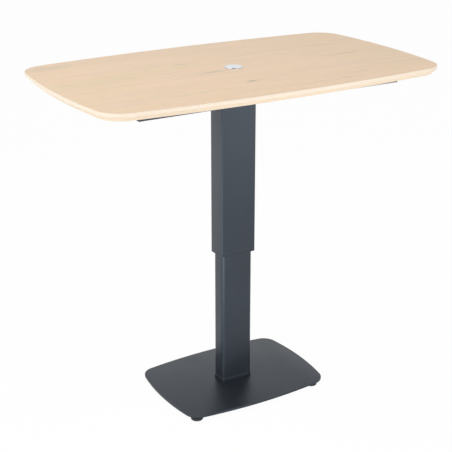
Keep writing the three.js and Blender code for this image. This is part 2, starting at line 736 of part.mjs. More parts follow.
const top = new THREE.Group();
top.position.z = topUnderside;
const topArcs = barrel(TOP_LENGTH, TOP_WIDTH, TOP_LONG_BOW, TOP_SHORT_BOW, TOP_CORNER_RADIUS);
const board = barrelSlab(topArcs, [
  [TOP_EDGE_BEVEL, 0],
  [0, TOP_EDGE_BEVEL],
  [0, TOP_THICKNESS - TOP_ARRIS],
  [TOP_ARRIS, TOP_THICKNESS],
]);
const pilotHole = rod(screwClearance, -1, TOP_SCREW_BITE + SEAT_GAP);
const pilotHoles = sides.flatMap((side) => screwXs.map((x) => pilotHole.clone().translate(x, side * railY, 0)));
const grommetHole = rod(GROMMET_HOLE_RADIUS, -1, TOP_THICKNESS + 1, ROUND_STEPS);
// The ring's flange lies in a rebate, level with the face of the top.
const grommetFlangeBottom = TOP_THICKNESS - GROMMET_FLANGE_THICKNESS;
const rebateFloor = grommetFlangeBottom - SEAT_GAP;
const grommetRebate = rod(GROMMET_FLANGE_RADIUS + SEAT_GAP, rebateFloor, TOP_THICKNESS + 1, ROUND_STEPS);
top.add(piece("table_top", cut(board, [grommetHole, grommetRebate, ...pilotHoles]), wood));

const sleeveRadius = GROMMET_HOLE_RADIUS - SEAT_GAP;
const sleeveBore = sleeveRadius - GROMMET_WALL;
top.add(
  piece(
    "grommet_ring",
    turnedRing([
      [sleeveBore, TOP_THICKNESS - GROMMET_SLEEVE_DEPTH],
      [sleeveRadius, TOP_THICKNESS - GROMMET_SLEEVE_DEPTH],
      [sleeveRadius, grommetFlangeBottom],
      [GROMMET_FLANGE_RADIUS, grommetFlangeBottom],
      [GROMMET_FLANGE_RADIUS, TOP_THICKNESS],
      [sleeveBore, TOP_THICKNESS],
    ]),
    silver,
  ),
);

const capBottom = TOP_THICKNESS + RUN_GAP;
const capTop = capBottom + GROMMET_CAP_THICKNESS;
const skirtRadius = sleeveBore - RUN_GAP;
const skirtBottom = capBottom - GROMMET_SKIRT_DEPTH;
const capBody = turned([
  [0, capBottom],
  [skirtRadius - GROMMET_SKIRT_WALL, capBottom],
  [skirtRadius - GROMMET_SKIRT_WALL, skirtBottom],
  [skirtRadius, skirtBottom],
  [skirtRadius, capBottom],
  [GROMMET_CAP_RADIUS, capBottom],
  [GROMMET_CAP_RADIUS, capTop - 1],
  [GROMMET_CAP_RADIUS - 1, capTop],
  [0, capTop],
]);
const notchHeight = capTop - skirtBottom + 2;
const notchMiddleZ = (capTop + skirtBottom) / 2;
const notchEnd = GROMMET_CAP_RADIUS - GROMMET_NOTCH_DEPTH + GROMMET_NOTCH_WIDTH / 2;
const notchSlot = GROMMET_CAP_RADIUS + 1 - notchEnd;
const capNotch = join([
  rod(GROMMET_NOTCH_WIDTH / 2, notchMiddleZ - notchHeight / 2, notchMiddleZ + notchHeight / 2).translate(notchEnd, 0, 0),
  boxAt(notchSlot, GROMMET_NOTCH_WIDTH, notchHeight, notchEnd + notchSlot / 2, 0, notchMiddleZ),
]);
const grommetCap = piece("grommet_cap", cut(capBody, [capNotch]), silver);
grommetCap.rotation.z = THREE.MathUtils.degToRad(GROMMET_NOTCH_ANGLE);
top.add(grommetCap);

// Control box: a mounting plate, a case with an open top and the mains inlet.

const controls = new THREE.Group();
controls.position.set(boxX, 0, topUnderside);
const boxPlateBottom = -SEAT_GAP - BOX_PLATE_THICKNESS;
const boxPlate = piece(
  "control_plate",
  block(BOX_LENGTH + 2 * BOX_PLATE_EAR, BOX_WIDTH, BOX_PLATE_THICKNESS, BOX_CORNER_RADIUS),
  steelBlack,
);
boxPlate.position.z = boxPlateBottom;
const caseTop = boxPlateBottom - SEAT_GAP;
const caseBottom = caseTop - BOX_DEPTH;
const caseHollow = block(BOX_LENGTH - 2 * BOX_WALL, BOX_WIDTH - 2 * BOX_WALL, BOX_DEPTH, BOX_CORNER_RADIUS - BOX_WALL);
const socketZ = BOX_DEPTH / 2;
const socketHoles = [];
for (let i = 0; i < SOCKET_COUNT; i++) {
  const y = (i - (SOCKET_COUNT - 1) / 2) * SOCKET_SPACING;
  socketHoles.push(boxAt(4 * BOX_WALL, SOCKET_WIDTH, SOCKET_HEIGHT, -BOX_LENGTH / 2, y, socketZ));
}
const inletHole = boxAt(
  4 * BOX_WALL,
  INLET_WIDTH + 2 * SEAT_GAP,
  INLET_HEIGHT + 2 * SEAT_GAP,
  BOX_LENGTH / 2,
  0,
  socketZ,
);
const boxCase = piece(
  "control_case",
  cut(block(BOX_LENGTH, BOX_WIDTH, BOX_DEPTH, BOX_CORNER_RADIUS), [
    caseHollow.translate(0, 0, BOX_WALL),
    ...socketHoles,
    inletHole,
  ]),
  plasticBlack,
);
boxCase.position.z = caseBottom;
const inletBody = join([
  boxAt(INLET_LENGTH, INLET_WIDTH, INLET_HEIGHT, -INLET_LENGTH / 2, 0, 0),
  boxAt(INLET_RIM, INLET_WIDTH + 2 * INLET_RIM, INLET_HEIGHT + 2 * INLET_RIM, INLET_RIM / 2, 0, 0),
]);
const inletPocketLength = INLET_LENGTH - INLET_FLOOR + INLET_RIM + 1;
const inletPocket = boxAt(
  inletPocketLength,
  INLET_WIDTH - 2 * INLET_WALL,
  INLET_HEIGHT - 2 * INLET_WALL,
  INLET_RIM + 1 - inletPocketLength / 2,
  0,
  0,
);
const inlet = piece("mains_inlet", cut(inletBody, [inletPocket]), plasticBlack);
inlet.position.set(BOX_LENGTH / 2 + SEAT_GAP, 0, caseBottom + socketZ);
controls.add(boxPlate, boxCase, inlet);

// Handset: its buttons face the rear and travel inwards.

const handset = new THREE.Group();
const edgeDrop = topArcs.longRadius - Math.sqrt(topArcs.longRadius ** 2 - handsetX ** 2);
const handsetFace = TOP_WIDTH / 2 - edgeDrop - TOP_EDGE_BEVEL - HANDSET_SETBACK;
handset.position.set(handsetX, handsetFace, topUnderside - SEAT_GAP - HANDSET_DEPTH);
const buttonZ = HANDSET_DEPTH / 2;
const buttonLength = BUTTON_PROUD + BUTTON_POCKET_DEPTH - BUTTON_TRAVEL - RUN_GAP;
// A rounded bar along Y, from the pocket's floor side out past the handset's face.
const buttonBlock = (length, height, radius, from, depth) =>
  block(length, height, depth, radius).rotateX(-Math.PI / 2).translate(0, from, buttonZ);
const pocket = buttonBlock(
  BUTTON_LENGTH + 2 * RUN_GAP,
  BUTTON_HEIGHT + 2 * RUN_GAP,
  BUTTON_CORNER_RADIUS + RUN_GAP,
  -BUTTON_POCKET_DEPTH,
  BUTTON_POCKET_DEPTH + 1,
);
const buttonXs = [-BUTTON_SPACING / 2, BUTTON_SPACING / 2];
const handsetCase = block(HANDSET_LENGTH, HANDSET_WIDTH, HANDSET_DEPTH, HANDSET_CORNER_RADIUS);
handset.add(
  piece(
    "handset",
    cut(
      handsetCase.translate(0, -HANDSET_WIDTH / 2, 0),
      buttonXs.map((x) => pocket.clone().translate(x, 0, 0)),
    ),
    plasticBlack,
  ),
);
["button_down", "button_up"].forEach((name, i) => {
  const shape = buttonBlock(
    BUTTON_LENGTH,
    BUTTON_HEIGHT,
    BUTTON_CORNER_RADIUS,
    BUTTON_PROUD - buttonLength,
    buttonLength,
  );
  const button = piece(name, shape, { color: 0x8d9094, roughness: 0.5, metalness: 0 });
  button.position.x = buttonXs[i];
  handset.add(button);
});

const table = new THREE.Group();
table.add(base, feet, column, drive, underframe, top, controls, handset);

export default table;
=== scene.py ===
# %% [markdown]
# # A standing meeting table
# The table is an oak top on a telescopic lifting column and a flat steel base plate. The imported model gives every
# piece its place, so this lesson only dresses it: finer meshes where an edge or a round shows, and a finish for
# each material. Everything is in metres, with the origin on the floor under the column.

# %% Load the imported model
import json
import math

import bmesh
import bpy
from mathutils import Matrix, Vector

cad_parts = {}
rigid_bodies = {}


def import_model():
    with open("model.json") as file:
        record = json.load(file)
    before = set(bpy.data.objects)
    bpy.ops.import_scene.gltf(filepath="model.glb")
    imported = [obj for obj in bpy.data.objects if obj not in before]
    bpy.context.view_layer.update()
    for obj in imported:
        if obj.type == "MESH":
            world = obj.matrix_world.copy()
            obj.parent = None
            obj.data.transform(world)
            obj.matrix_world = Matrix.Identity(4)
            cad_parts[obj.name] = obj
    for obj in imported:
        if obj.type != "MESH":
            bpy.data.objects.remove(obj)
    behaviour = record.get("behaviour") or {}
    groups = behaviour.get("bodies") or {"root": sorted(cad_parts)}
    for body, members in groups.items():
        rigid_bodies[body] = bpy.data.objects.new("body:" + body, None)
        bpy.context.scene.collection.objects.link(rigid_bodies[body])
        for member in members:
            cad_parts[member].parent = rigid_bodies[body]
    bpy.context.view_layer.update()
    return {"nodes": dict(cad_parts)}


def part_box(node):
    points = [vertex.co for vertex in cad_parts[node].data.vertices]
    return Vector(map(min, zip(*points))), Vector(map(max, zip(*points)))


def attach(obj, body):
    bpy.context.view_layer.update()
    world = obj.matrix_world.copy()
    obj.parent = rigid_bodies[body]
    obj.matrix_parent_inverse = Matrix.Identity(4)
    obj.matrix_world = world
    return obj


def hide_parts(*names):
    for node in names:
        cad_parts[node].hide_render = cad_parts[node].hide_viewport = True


for leftover in list(bpy.data.objects):
    bpy.data.objects.remove(leftover)
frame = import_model()
nodes = frame["nodes"]
MM = 0.001

# %% [markdown]
# ## The camera
# The view is a long lens from the front left, a little above the top. The position and lens come from fitting
# straight edges and outlines of the table to a square picture, so they are written as plain numbers.

# %% Camera
PICTURE_PIXELS = 452
FOCAL_PIXELS = 1103.85
SENSOR = 36.0
LOOK_DOWN = 0.3676
TURN_RIGHT = 0.5358
scene = bpy.context.scene
scene.view_settings.view_transform = "Standard"
camera_data = bpy.data.cameras.new("camera")
camera_data.sensor_width = SENSOR
camera_data.lens = FOCAL_PIXELS / PICTURE_PIXELS * SENSOR
camera_data.clip_end = 50.0
camera = bpy.data.objects.new("camera", camera_data)
camera.location = (-1.7352, -2.8774, 1.8701)
camera.rotation_euler = (math.pi / 2 - LOOK_DOWN, 0.0, -TURN_RIGHT)
scene.collection.objects.link(camera)
scene.camera = camera
print("lens:", round(camera_data.lens, 2), "mm")

# %% [markdown]
# ## Colours and nodes
# Colours are written as sRGB hex values, the way a paint chart gives them, and Blender's shaders want linear
# values, so one function converts them. A second small function adds a shader or geometry node, sets its options
# and colour stops, and links its inputs, which keeps each recipe below short.


# %% Colour and node helpers
def linear(hex_colour):
    channels = [int(hex_colour[i : i + 2], 16) / 255 for i in (1, 3, 5)]
    curved = [c / 12.92 if c <= 0.04045 else ((c + 0.055) / 1.055) ** 2.4 for c in channels]
    return (*curved, 1.0)


def grey(value):
    return (value, value, value, 1.0)


def add_node(tree, kind, inputs=None, stops=None, **settings):
    made = tree.nodes.new(kind)
    for name, value in settings.items():
        setattr(made, name, value)
    for socket, value in (inputs or {}).items():
        if isinstance(value, bpy.types.NodeSocket):
            tree.links.new(value, made.inputs[socket])
        else:
            made.inputs[socket].default_value = value
    for number, (position, colour) in enumerate(stops or []):
        elements = made.color_ramp.elements
        stop = elements[number] if number < len(elements) else elements.new(position)
        stop.position = position
        stop.color = colour
    return made


def start_finish(name):
    finish = bpy.data.materials.new(name)
    finish.use_nodes = True
    tree = finish.node_tree
    shader = tree.nodes["Principled BSDF"]
    place = add_node(tree, "ShaderNodeTexCoord").outputs["Object"]
    return finish, tree, shader, place


print("a mid grey in linear light:", round(linear("#808080")[0], 3))

# %% [markdown]
# ## Studio
# The table stands on a white paper sweep. The paper shows mostly its own white to the camera and in reflections,
# mixed with a little real shading, so that the soft shadow under the base plate stays. The Light Path node tells
# those rays from the light that falls on the table.


# %% Paper sweep
def seen_directly(tree):
    """1 for what the camera sees, also in a reflection or through glass, and 0 for light on its way to a surface."""
    rays = add_node(tree, "ShaderNodeLightPath").outputs
    seen = add_node(tree, "ShaderNodeMath", {0: rays["Is Camera Ray"], 1: rays["Is Glossy Ray"]})
    seen = {0: seen.outputs[0], 1: rays["Is Transmission Ray"]}
    return add_node(tree, "ShaderNodeMath", seen, use_clamp=True).outputs[0]


REACH = 9
PAPER_GLOW = 0.97
floor_mesh = bpy.data.meshes.new("floor")
corners = [(-REACH, -REACH, 0), (REACH, -REACH, 0), (REACH, REACH, 0), (-REACH, REACH, 0)]
floor_mesh.from_pydata(corners, [], [(0, 1, 2, 3)])
floor = bpy.data.objects.new("floor", floor_mesh)
scene.collection.objects.link(floor)

# Photographic paper is matt and white.
paper = bpy.data.materials.new("white_paper_sweep")
paper.use_nodes = True
tree = paper.node_tree
tree.nodes.clear()
matt = add_node(tree, "ShaderNodeBsdfDiffuse", {"Color": linear("#F2F2F2")})
glow = add_node(tree, "ShaderNodeEmission", {"Color": linear("#FFFFFF"), "Strength": 1.0})
share = add_node(tree, "ShaderNodeMath", {0: seen_directly(tree), 1: PAPER_GLOW}, operation="MULTIPLY")
mix = add_node(tree, "ShaderNodeMixShader", {0: share.outputs[0], 1: matt.outputs[0], 2: glow.outputs[0]})
add_node(tree, "ShaderNodeOutputMaterial", {"Surface": mix.outputs[0]})
floor_mesh.materials.append(paper)
print("floor:", paper.name)

# %% [markdown]
# The world is a plain white room that lights the table gently. Eight softboxes do the rest:
# - a wide one overhead for the face of the top
# - one in front and one on the left for its edge
# - one low on the right that is mirrored in the column's front
# - three by the front left corner that are mirrored in the round corner of the lower tube
# - a weak one behind for the side of the column.
# The near ones have a narrow spread, which keeps them off the oak.

# %% White room
ROOM_LIGHT = 0.50
world = bpy.data.worlds.new("white_room")
scene.world = world
world.use_nodes = True
tree = world.node_tree
tree.nodes.clear()
level = add_node(tree, "ShaderNodeMapRange", {"Value": seen_directly(tree), "To Min": ROOM_LIGHT, "To Max": 1.0})
room = add_node(tree, "ShaderNodeBackground", {"Color": linear("#FFFFFF"), "Strength": level.outputs[0]})
add_node(tree, "ShaderNodeOutputWorld", {"Surface": room.outputs[0]})
print("room light:", ROOM_LIGHT)

# %% Softboxes
NARROW = 80


def add_lamp(name, place, target, width, height, power, spread=180):
    """A rectangular area lamp that faces its target, with its size in metres and its spread in degrees."""
    lamp_data = bpy.data.lights.new(name, "AREA")
    lamp_data.shape = "RECTANGLE"
    lamp_data.size = width
    lamp_data.size_y = height
    lamp_data.energy = power
    lamp_data.spread = math.radians(spread)
    lamp = bpy.data.objects.new(name, lamp_data)
    lamp.location = place
    lamp.rotation_euler = (Vector(target) - Vector(place)).to_track_quat("-Z", "Y").to_euler()
    scene.collection.objects.link(lamp)


add_lamp("overhead_softbox", (-0.5, -0.2, 3.4), (0, 0, 1.1), 3.4, 3.4, 40)
add_lamp("front_softbox", (0.6, -2.8, 1.2), (0, 0, 1.1), 3.0, 1.5, 19)
add_lamp("left_softbox", (-2.55, -0.35, 1.2), (0, 0, 1.07), 2.6, 1.4, 24.5)
add_lamp("right_low_softbox", (1.75, -2.9, 0.6), (0, 0, 1.05), 1.2, 1.2, 14)
add_lamp("corner_softbox", (-0.62, -1.25, 0.25), (0, 0, 0.25), 2.0, 0.48, 2.2)
add_lamp("tall_corner_softbox", (-0.87, -0.52, 0.37), (0, 0, 0.37), 0.5, 0.7, 1.4, spread=NARROW)
add_lamp("front_corner_softbox", (-0.42, -0.91, 0.37), (0, 0, 0.37), 0.55, 0.7, 0.75, spread=NARROW)
add_lamp("side_softbox", (-0.85, 1.25, 0.38), (0, 0, 0.5), 0.8, 0.5, 0.12, spread=NARROW)

# %% [markdown]
# ## Oak
# The top is a board faced with pale oak veneer under a matt lacquer. Oak veneer shows several scales at once: leaves
# of about 70 mm that lean to pink or to yellow, greyer streaks about 30 mm wide and a few hundred long, growth lines
# about 8 mm wide, and pores, short fine dashes along the grain. Each is a noise stretched along X, the grain
# direction. Real pores are about 0.3 mm wide, too fine for this picture, so they are drawn about 2 mm wide.

# %% Oak face: leaves of the veneer
LEAF = 1 / 0.070
STREAK = 1 / 0.030
GROWTH = 1 / 0.008
PORE = 1 / 0.002
LEAF_TONES = ((0.36, "#E8CCB1"), (0.46, "#E6CDAD"), (0.54, "#EACDB3"), (0.66, "#E4CDAC"))

# Oak veneer, sliced, sanded and lacquered matt: pale, warm and even, with soft bands and almost no gloss.
oak_face, tree, shader, place = start_finish("oak_veneer_matt_lacquer")
leaf_at = {"Vector": place, "Scale": (1.6, LEAF, LEAF), "Location": (3.1, 0.4, 0)}
leaf_at = add_node(tree, "ShaderNodeMapping", leaf_at)
leaf = add_node(tree, "ShaderNodeTexNoise", {"Vector": leaf_at.outputs[0], "Scale": 1.0, "Detail": 2.0})
leaf_stops = [(position, linear(tone)) for position, tone in LEAF_TONES]
colour = add_node(tree, "ShaderNodeValToRGB", {0: leaf.outputs[0]}, leaf_stops).outputs[0]
print("veneer leaves", round(1000 / LEAF), "mm")

# %% [markdown]
# The other three scales go over the leaves in turn. Each row gives the pattern along and across the grain, its
# offset, the noise, where its tone starts to show and where it is full, its largest share, and the tone.

# %% Oak face: streaks, growth lines and pores
OAK_LAYERS = [
    ((3.0, STREAK), (0.7, 5.2, 0), {"Detail": 3.0, "Roughness": 0.55, "Distortion": 0.3}, (0.5, 0.74, 0.5), "#D6C4AE"),
    ((1.5, GROWTH), (0, 0, 0), {"Detail": 3.0, "Roughness": 0.6, "Distortion": 0.4}, (0.44, 0.70, 0.22), "#D2B897"),
    ((22.0, PORE), (0, 0, 0), {"Detail": 2.0}, (0.54, 0.76, 0.34), "#C0A27C"),
]
for (along, across), offset, noise, (first, full, share), tone in OAK_LAYERS:
    layer_at = {"Vector": place, "Scale": (along, across, across), "Location": offset}
    layer_at = add_node(tree, "ShaderNodeMapping", layer_at)
    layer = add_node(tree, "ShaderNodeTexNoise", {"Vector": layer_at.outputs[0], "Scale": 1.0, **noise})
    shares = [(first, grey(0.0)), (full, grey(share))]
    layer_share = add_node(tree, "ShaderNodeValToRGB", {0: layer.outputs[0]}, shares)
    layered = {0: layer_share.outputs[0], 6: colour, 7: linear(tone)}
    colour = add_node(tree, "ShaderNodeMix", layered, data_type="RGBA").outputs[2]
    print("layer", round(1000 / across), "mm wide")
pores = layer.outputs[0]

# %% [markdown]
# A few small knots and mineral marks break the even grain. Each is a stretched soft spot at its own place on the
# face: a short dark pin knot near the front, and long grey marks beside the grommet and towards the right end.

# %% Oak face: knots, marks and lacquer
KNOT = "#938B80"
GREY_MARK = "#B6A898"
PALE_MARK = "#CEBDA6"
MARKS = [
    ((-0.047, -0.183), (0.022, 0.0095), KNOT, 0.95),
    ((-0.035, -0.180), (0.090, 0.0120), PALE_MARK, 0.45),
    ((-0.090, -0.026), (0.085, 0.0115), GREY_MARK, 0.62),
    ((-0.190, -0.021), (0.110, 0.0100), PALE_MARK, 0.45),
    ((-0.122, 0.112), (0.042, 0.0120), GREY_MARK, 0.50),
    ((-0.251, 0.100), (0.030, 0.0090), PALE_MARK, 0.45),
    ((0.420, 0.139), (0.090, 0.0110), PALE_MARK, 0.50),
    ((0.400, -0.012), (0.100, 0.0110), GREY_MARK, 0.36),
    ((0.447, -0.018), (0.030, 0.0090), GREY_MARK, 0.32),
    ((0.222, -0.284), (0.030, 0.0160), PALE_MARK, 0.60),
    ((0.527, -0.146), (0.070, 0.0100), PALE_MARK, 0.45),
    ((-0.415, -0.045), (0.080, 0.0090), PALE_MARK, 0.45),
    ((-0.510, 0.272), (0.110, 0.0450), PALE_MARK, 0.55),
]
for (mark_x, mark_y), (half_length, half_width), mark_tone, strength in MARKS:
    moved = add_node(tree, "ShaderNodeVectorMath", {0: place, 1: (mark_x, mark_y, 0)}, operation="SUBTRACT")
    sized = {0: moved.outputs[0], 1: (1 / half_length, 1 / half_width, 0.0)}
    sized = add_node(tree, "ShaderNodeVectorMath", sized, operation="MULTIPLY")
    reach = add_node(tree, "ShaderNodeVectorMath", {0: sized.outputs[0]}, operation="LENGTH")
    fade = [(0.10, grey(strength)), (1.0, grey(0.0))]
    spot = add_node(tree, "ShaderNodeValToRGB", {0: reach.outputs["Value"]}, fade)
    marked = {0: spot.outputs[0], 6: colour, 7: linear(mark_tone)}
    colour = add_node(tree, "ShaderNodeMix", marked, data_type="RGBA").outputs[2]
tree.links.new(colour, shader.inputs["Base Color"])
lacquer = add_node(tree, "ShaderNodeMapRange", {"Value": pores, "To Min": 0.48, "To Max": 0.62})
tree.links.new(lacquer.outputs[0], shader.inputs["Roughness"])
grain_bump = {"Strength": 0.10, "Distance": 0.0004, "Height": pores}
grain_bump = add_node(tree, "ShaderNodeBump", grain_bump, invert=True)
tree.links.new(grain_bump.outputs[0], shader.inputs["Normal"])
shader.inputs["IOR"].default_value = 1.5
shader.inputs["Specular IOR Level"].default_value = 0.35
print("marks on the face:", len(MARKS))

# %% [markdown]
# The edge is banded with the same oak, cut so that its grain runs round the board. Lines parallel to the face come
# from a noise that changes fast with height and slowly along the edge. The bevel below is painted slightly warmer and
# the upright part paler, as painted light: a warm bounce on the bevel and brighter light on the upright. The height
# decides between the two tones.

# %% Oak edge
# Oak edge band, planed and lacquered matt: creamier than the face, with fine lines round the board.
oak_edge, tree, shader, place = start_finish("oak_edge_band_matt_lacquer")
EDGE_LINE = 1 / 0.005
BEVEL_UP_TO = 1.0920
UPRIGHT_FROM = 1.0960
line_at = add_node(tree, "ShaderNodeMapping", {"Vector": place, "Scale": (1.0, 1.0, EDGE_LINE)})
line = add_node(tree, "ShaderNodeTexNoise", {"Vector": line_at.outputs[0], "Scale": 1.0, "Detail": 3.0})
# The upright's paler stops and the bevel's warmer stops are painted light on one and the same band of oak.
upright_stops_painted_pale = [(0.35, linear("#F1E4D3")), (0.52, linear("#EFE1CF")), (0.70, linear("#EBDCC8"))]
upright_tone_painted_pale = add_node(tree, "ShaderNodeValToRGB", {0: line.outputs[0]}, upright_stops_painted_pale)
bevel_stops_painted_warm = [(0.35, linear("#F1DFC8")), (0.52, linear("#EFDBC2")), (0.70, linear("#EBD5B9"))]
bevel_tone_painted_warm = add_node(tree, "ShaderNodeValToRGB", {0: line.outputs[0]}, bevel_stops_painted_warm)
height = add_node(tree, "ShaderNodeSeparateXYZ", {0: place})
above = {"Value": height.outputs["Z"], "From Min": BEVEL_UP_TO, "From Max": UPRIGHT_FROM}
above = add_node(tree, "ShaderNodeMapRange", above)
edge_mix = {0: above.outputs[0], 6: bevel_tone_painted_warm.outputs[0], 7: upright_tone_painted_pale.outputs[0]}
edge_tone = add_node(tree, "ShaderNodeMix", edge_mix, data_type="RGBA")
tree.links.new(edge_tone.outputs[2], shader.inputs["Base Color"])
edge_rough = add_node(tree, "ShaderNodeMapRange", {"Value": line.outputs[0], "To Min": 0.45, "To Max": 0.58})
tree.links.new(edge_rough.outputs[0], shader.inputs["Roughness"])
edge_bump = add_node(tree, "ShaderNodeBump", {"Strength": 0.02, "Distance": 0.0002, "Height": line.outputs[0]})
tree.links.new(edge_bump.outputs[0], shader.inputs["Normal"])
shader.inputs["IOR"].default_value = 1.5
shader.inputs["Specular IOR Level"].default_value = 0.35
print("edge finish:", oak_edge.name)

# %% [markdown]
# ## Powder-coated steel
# The column, frame and base are steel with a near-black powder coat. The powder melts into a skin with a faint orange
# peel about 1.5 mm across. Most of what the eye sees on it is the soft reflection of the room, so the colour itself is
# dark, and slow changes in gloss, about 60 mm across, keep a large plate from looking like paint on a screen. One
# noise that moves colour and roughness together serves every finish from here on, so it is a helper.


# %% Powder coat
def mottled(name, scale, detail, tones, stops, roughness, swing):
    """A finish whose colour and roughness both follow one noise, which is returned for a bump."""
    finish, tree, shader, place = start_finish(name)
    grain_at = add_node(tree, "ShaderNodeMapping", {"Vector": place, "Scale": scale})
    grain = add_node(tree, "ShaderNodeTexNoise", {"Vector": grain_at.outputs[0], "Scale": 1.0, "Detail": detail})
    tone_stops = [(stop, linear(tone)) for stop, tone in zip(stops, tones)]
    tone = add_node(tree, "ShaderNodeValToRGB", {0: grain.outputs[0]}, tone_stops)
    tree.links.new(tone.outputs[0], shader.inputs["Base Color"])
    rough = {"Value": grain.outputs[0], "To Min": roughness - swing, "To Max": roughness + swing}
    rough = add_node(tree, "ShaderNodeMapRange", rough)
    tree.links.new(rough.outputs[0], shader.inputs["Roughness"])
    return finish, tree, shader, place, grain


ORANGE_PEEL = 1 / 0.0015
GLOSS_PATCH = 1 / 0.060
COAT_TONES = ("#111519", "#15191E")
COAT_ROUGHNESS = 0.39

# Polyester powder coat, baked satin: near black, with a soft wide reflection that has a blue cast.
powder_coat, tree, shader, place, _ = mottled(
    "powder_coated_steel_satin", (GLOSS_PATCH,) * 3, 0.0, COAT_TONES, (0.2, 0.8), COAT_ROUGHNESS, 0.05
)
peel_at = add_node(tree, "ShaderNodeMapping", {"Vector": place, "Scale": (ORANGE_PEEL,) * 3})
peel = add_node(tree, "ShaderNodeTexNoise", {"Vector": peel_at.outputs[0], "Scale": 1.0, "Detail": 1.0})
bump = add_node(tree, "ShaderNodeBump", {"Strength": 0.08, "Distance": 0.0002, "Height": peel.outputs[0]})
tree.links.new(bump.outputs[0], shader.inputs["Normal"])
shader.inputs["IOR"].default_value = 1.60
shader.inputs["Specular Tint"].default_value = linear("#DCEAFF")
print("powder coat:", powder_coat.name)

# %% [markdown]
# ## Moulded plastics
# Covers, caps, the handset and the feet are injection moulded. The mould is spark eroded, which leaves a fine matt
# grain about 0.8 mm across, so that finger marks and sink marks don't show.

# %% Plastics
MOULD_GRAIN = 1 / 0.0008
GRAIN_STOPS = (0.3, 0.7)


def moulded(name, tones, roughness):
    grain_scale = (MOULD_GRAIN,) * 3
    finish, tree, shader, _, grain = mottled(name, grain_scale, 2.0, tones, GRAIN_STOPS, roughness, 0.06)
    bump = add_node(tree, "ShaderNodeBump", {"Strength": 0.18, "Distance": 0.0002, "Height": grain.outputs[0]})
    tree.links.new(bump.outputs[0], shader.inputs["Normal"])
    shader.inputs["IOR"].default_value = 1.53
    return finish


# ABS for covers and caps: black, matt, a little softer than the steel.
black_abs = moulded("moulded_abs_black", ("#1A1B1D", "#222326"), 0.50)
# ABS for the buttons: a light grey that can be found with a hand's shadow over it.
button_abs = moulded("moulded_abs_grey", ("#8A8D92", "#94979B"), 0.45)
# Acetal for the column's guides: self-coloured dark grey, slightly waxy.
guide_acetal = moulded("moulded_acetal_dark_grey", ("#1B1F25", "#20242A"), 0.42)
# Polyamide for the feet: black and dull.
pad_plastic = moulded("moulded_polyamide_black", ("#191A1C", "#232427"), 0.55)
print("plastics:", black_abs.name, button_abs.name, guide_acetal.name, pad_plastic.name)

# %% [markdown]
# ## Bare metals
# Screws are zinc plated, the drive is turned steel with a bronze nut and a die-cast gearbox, and the grommet is
# aluminium, anodised satin. A fine noise moves their tone and roughness a little, stretched round the axis where the
# piece was turned, so that highlights break up as they do on real metal.

# %% Metals
FINE = 1 / 0.0012
TOOL_MARK = 1 / 0.0004
EVEN = (FINE,) * 3
LATHE = (FINE / 4, FINE / 4, TOOL_MARK)


def metal(name, tones, grain_scale, roughness):
    finish, _, shader, _, _ = mottled(name, grain_scale, 3.0, tones, GRAIN_STOPS, roughness, 0.07)
    shader.inputs["Metallic"].default_value = 1.0
    return finish


# Zinc plate, bright passivated: pale grey with a faint cloud.
zinc = metal("zinc_plated_steel", ("#AEB2B8", "#C6C9CD"), EVEN, 0.34)
# Steel from the lathe: darker, with fine rings along the axis.
turned_steel = metal("turned_steel", ("#8E9196", "#A5A8AC"), LATHE, 0.30)
# Zinc alloy from the die: dull and even.
cast_alloy = metal("die_cast_zinc_alloy", ("#8D9093", "#A0A3A6"), EVEN, 0.48)
# Bronze from the lathe: warm, with the same rings.
bronze = metal("machined_bronze", ("#A57C45", "#BA9256"), LATHE, 0.34)
# Aluminium, bead blasted and anodised: a pale, slightly blue silver.
silver = metal("satin_anodised_aluminium", ("#D0D2D8", "#DFE0E4"), EVEN, 0.36)
print("finishes:", len(bpy.data.materials))

# %% [markdown]
# ## Outlines and lofts
# The top and the base plate share one outline, a barrel: four shallow arcs joined by round corners. Drawing the
# outline in by a constant distance only shortens the arcs' radii, so an edge profile is a stack of such rings.
# A loft then skins the rings. A tube or a board with a hole is a loft that comes back to its first ring.


# %% Barrel outline
def arc(centre, radius, start, end, steps):
    span = [start + (end - start) * i / steps for i in range(steps)]
    return [(centre[0] + radius * math.cos(a), centre[1] + radius * math.sin(a)) for a in span]


def barrel_outline(length, width, long_bow, short_bow, corner, inset, side_steps=40, corner_steps=24):
    end_x = length / 2 - short_bow
    end_y = width / 2 - long_bow
    long_radius = (end_x**2 + long_bow**2) / (2 * long_bow)
    short_radius = (end_y**2 + short_bow**2) / (2 * short_bow)
    long_centre = Vector((0, width / 2 - long_radius))
    short_centre = Vector((length / 2 - short_radius, 0))
    between = short_centre - long_centre
    distance = between.length
    long_reach = long_radius - corner
    short_reach = short_radius - corner
    along = (distance**2 + long_reach**2 - short_reach**2) / (2 * distance)
    aside = math.sqrt(long_reach**2 - along**2)
    unit = between / distance
    corner_centre = long_centre + unit * along + Vector((unit.y, -unit.x)) * aside
    from_short = math.atan2(*reversed((corner_centre - short_centre).to_tuple()))
    from_long = math.atan2(*reversed((corner_centre - long_centre).to_tuple()))
    quarter = arc(short_centre, short_radius - inset, 0, from_short, side_steps // 2)
    quarter += arc(corner_centre, corner - inset, from_short, from_long, corner_steps)
    quarter += arc(long_centre, long_radius - inset, from_long, math.pi / 2, side_steps // 2)
    half = quarter + [(0, width / 2 - inset)] + [(-x, y) for x, y in reversed(quarter[1:])]
    return half + [(-x, -y) for x, y in half]


print("points in a barrel outline:", len(barrel_outline(1.0, 0.6, 0.03, 0.03, 0.08, inset=0)))


# %% Rings and lofts
SHARP_DEGREES = 30


def at_height(points, z):
    return [Vector((x, y, z)) for x, y in points]


def quarter_round(radius, steps=4):
    """Pairs (in, up) that round a corner from a vertical side to a level face."""
    angles = [math.pi / 2 * i / steps for i in range(steps + 1)]
    return [(radius * (1 - math.cos(a)), radius * math.sin(a)) for a in angles]


def smooth(mesh, sharp_degrees=SHARP_DEGREES):
    mesh.shade_smooth()
    mesh.set_sharp_from_angle(angle=math.radians(sharp_degrees))
    return mesh


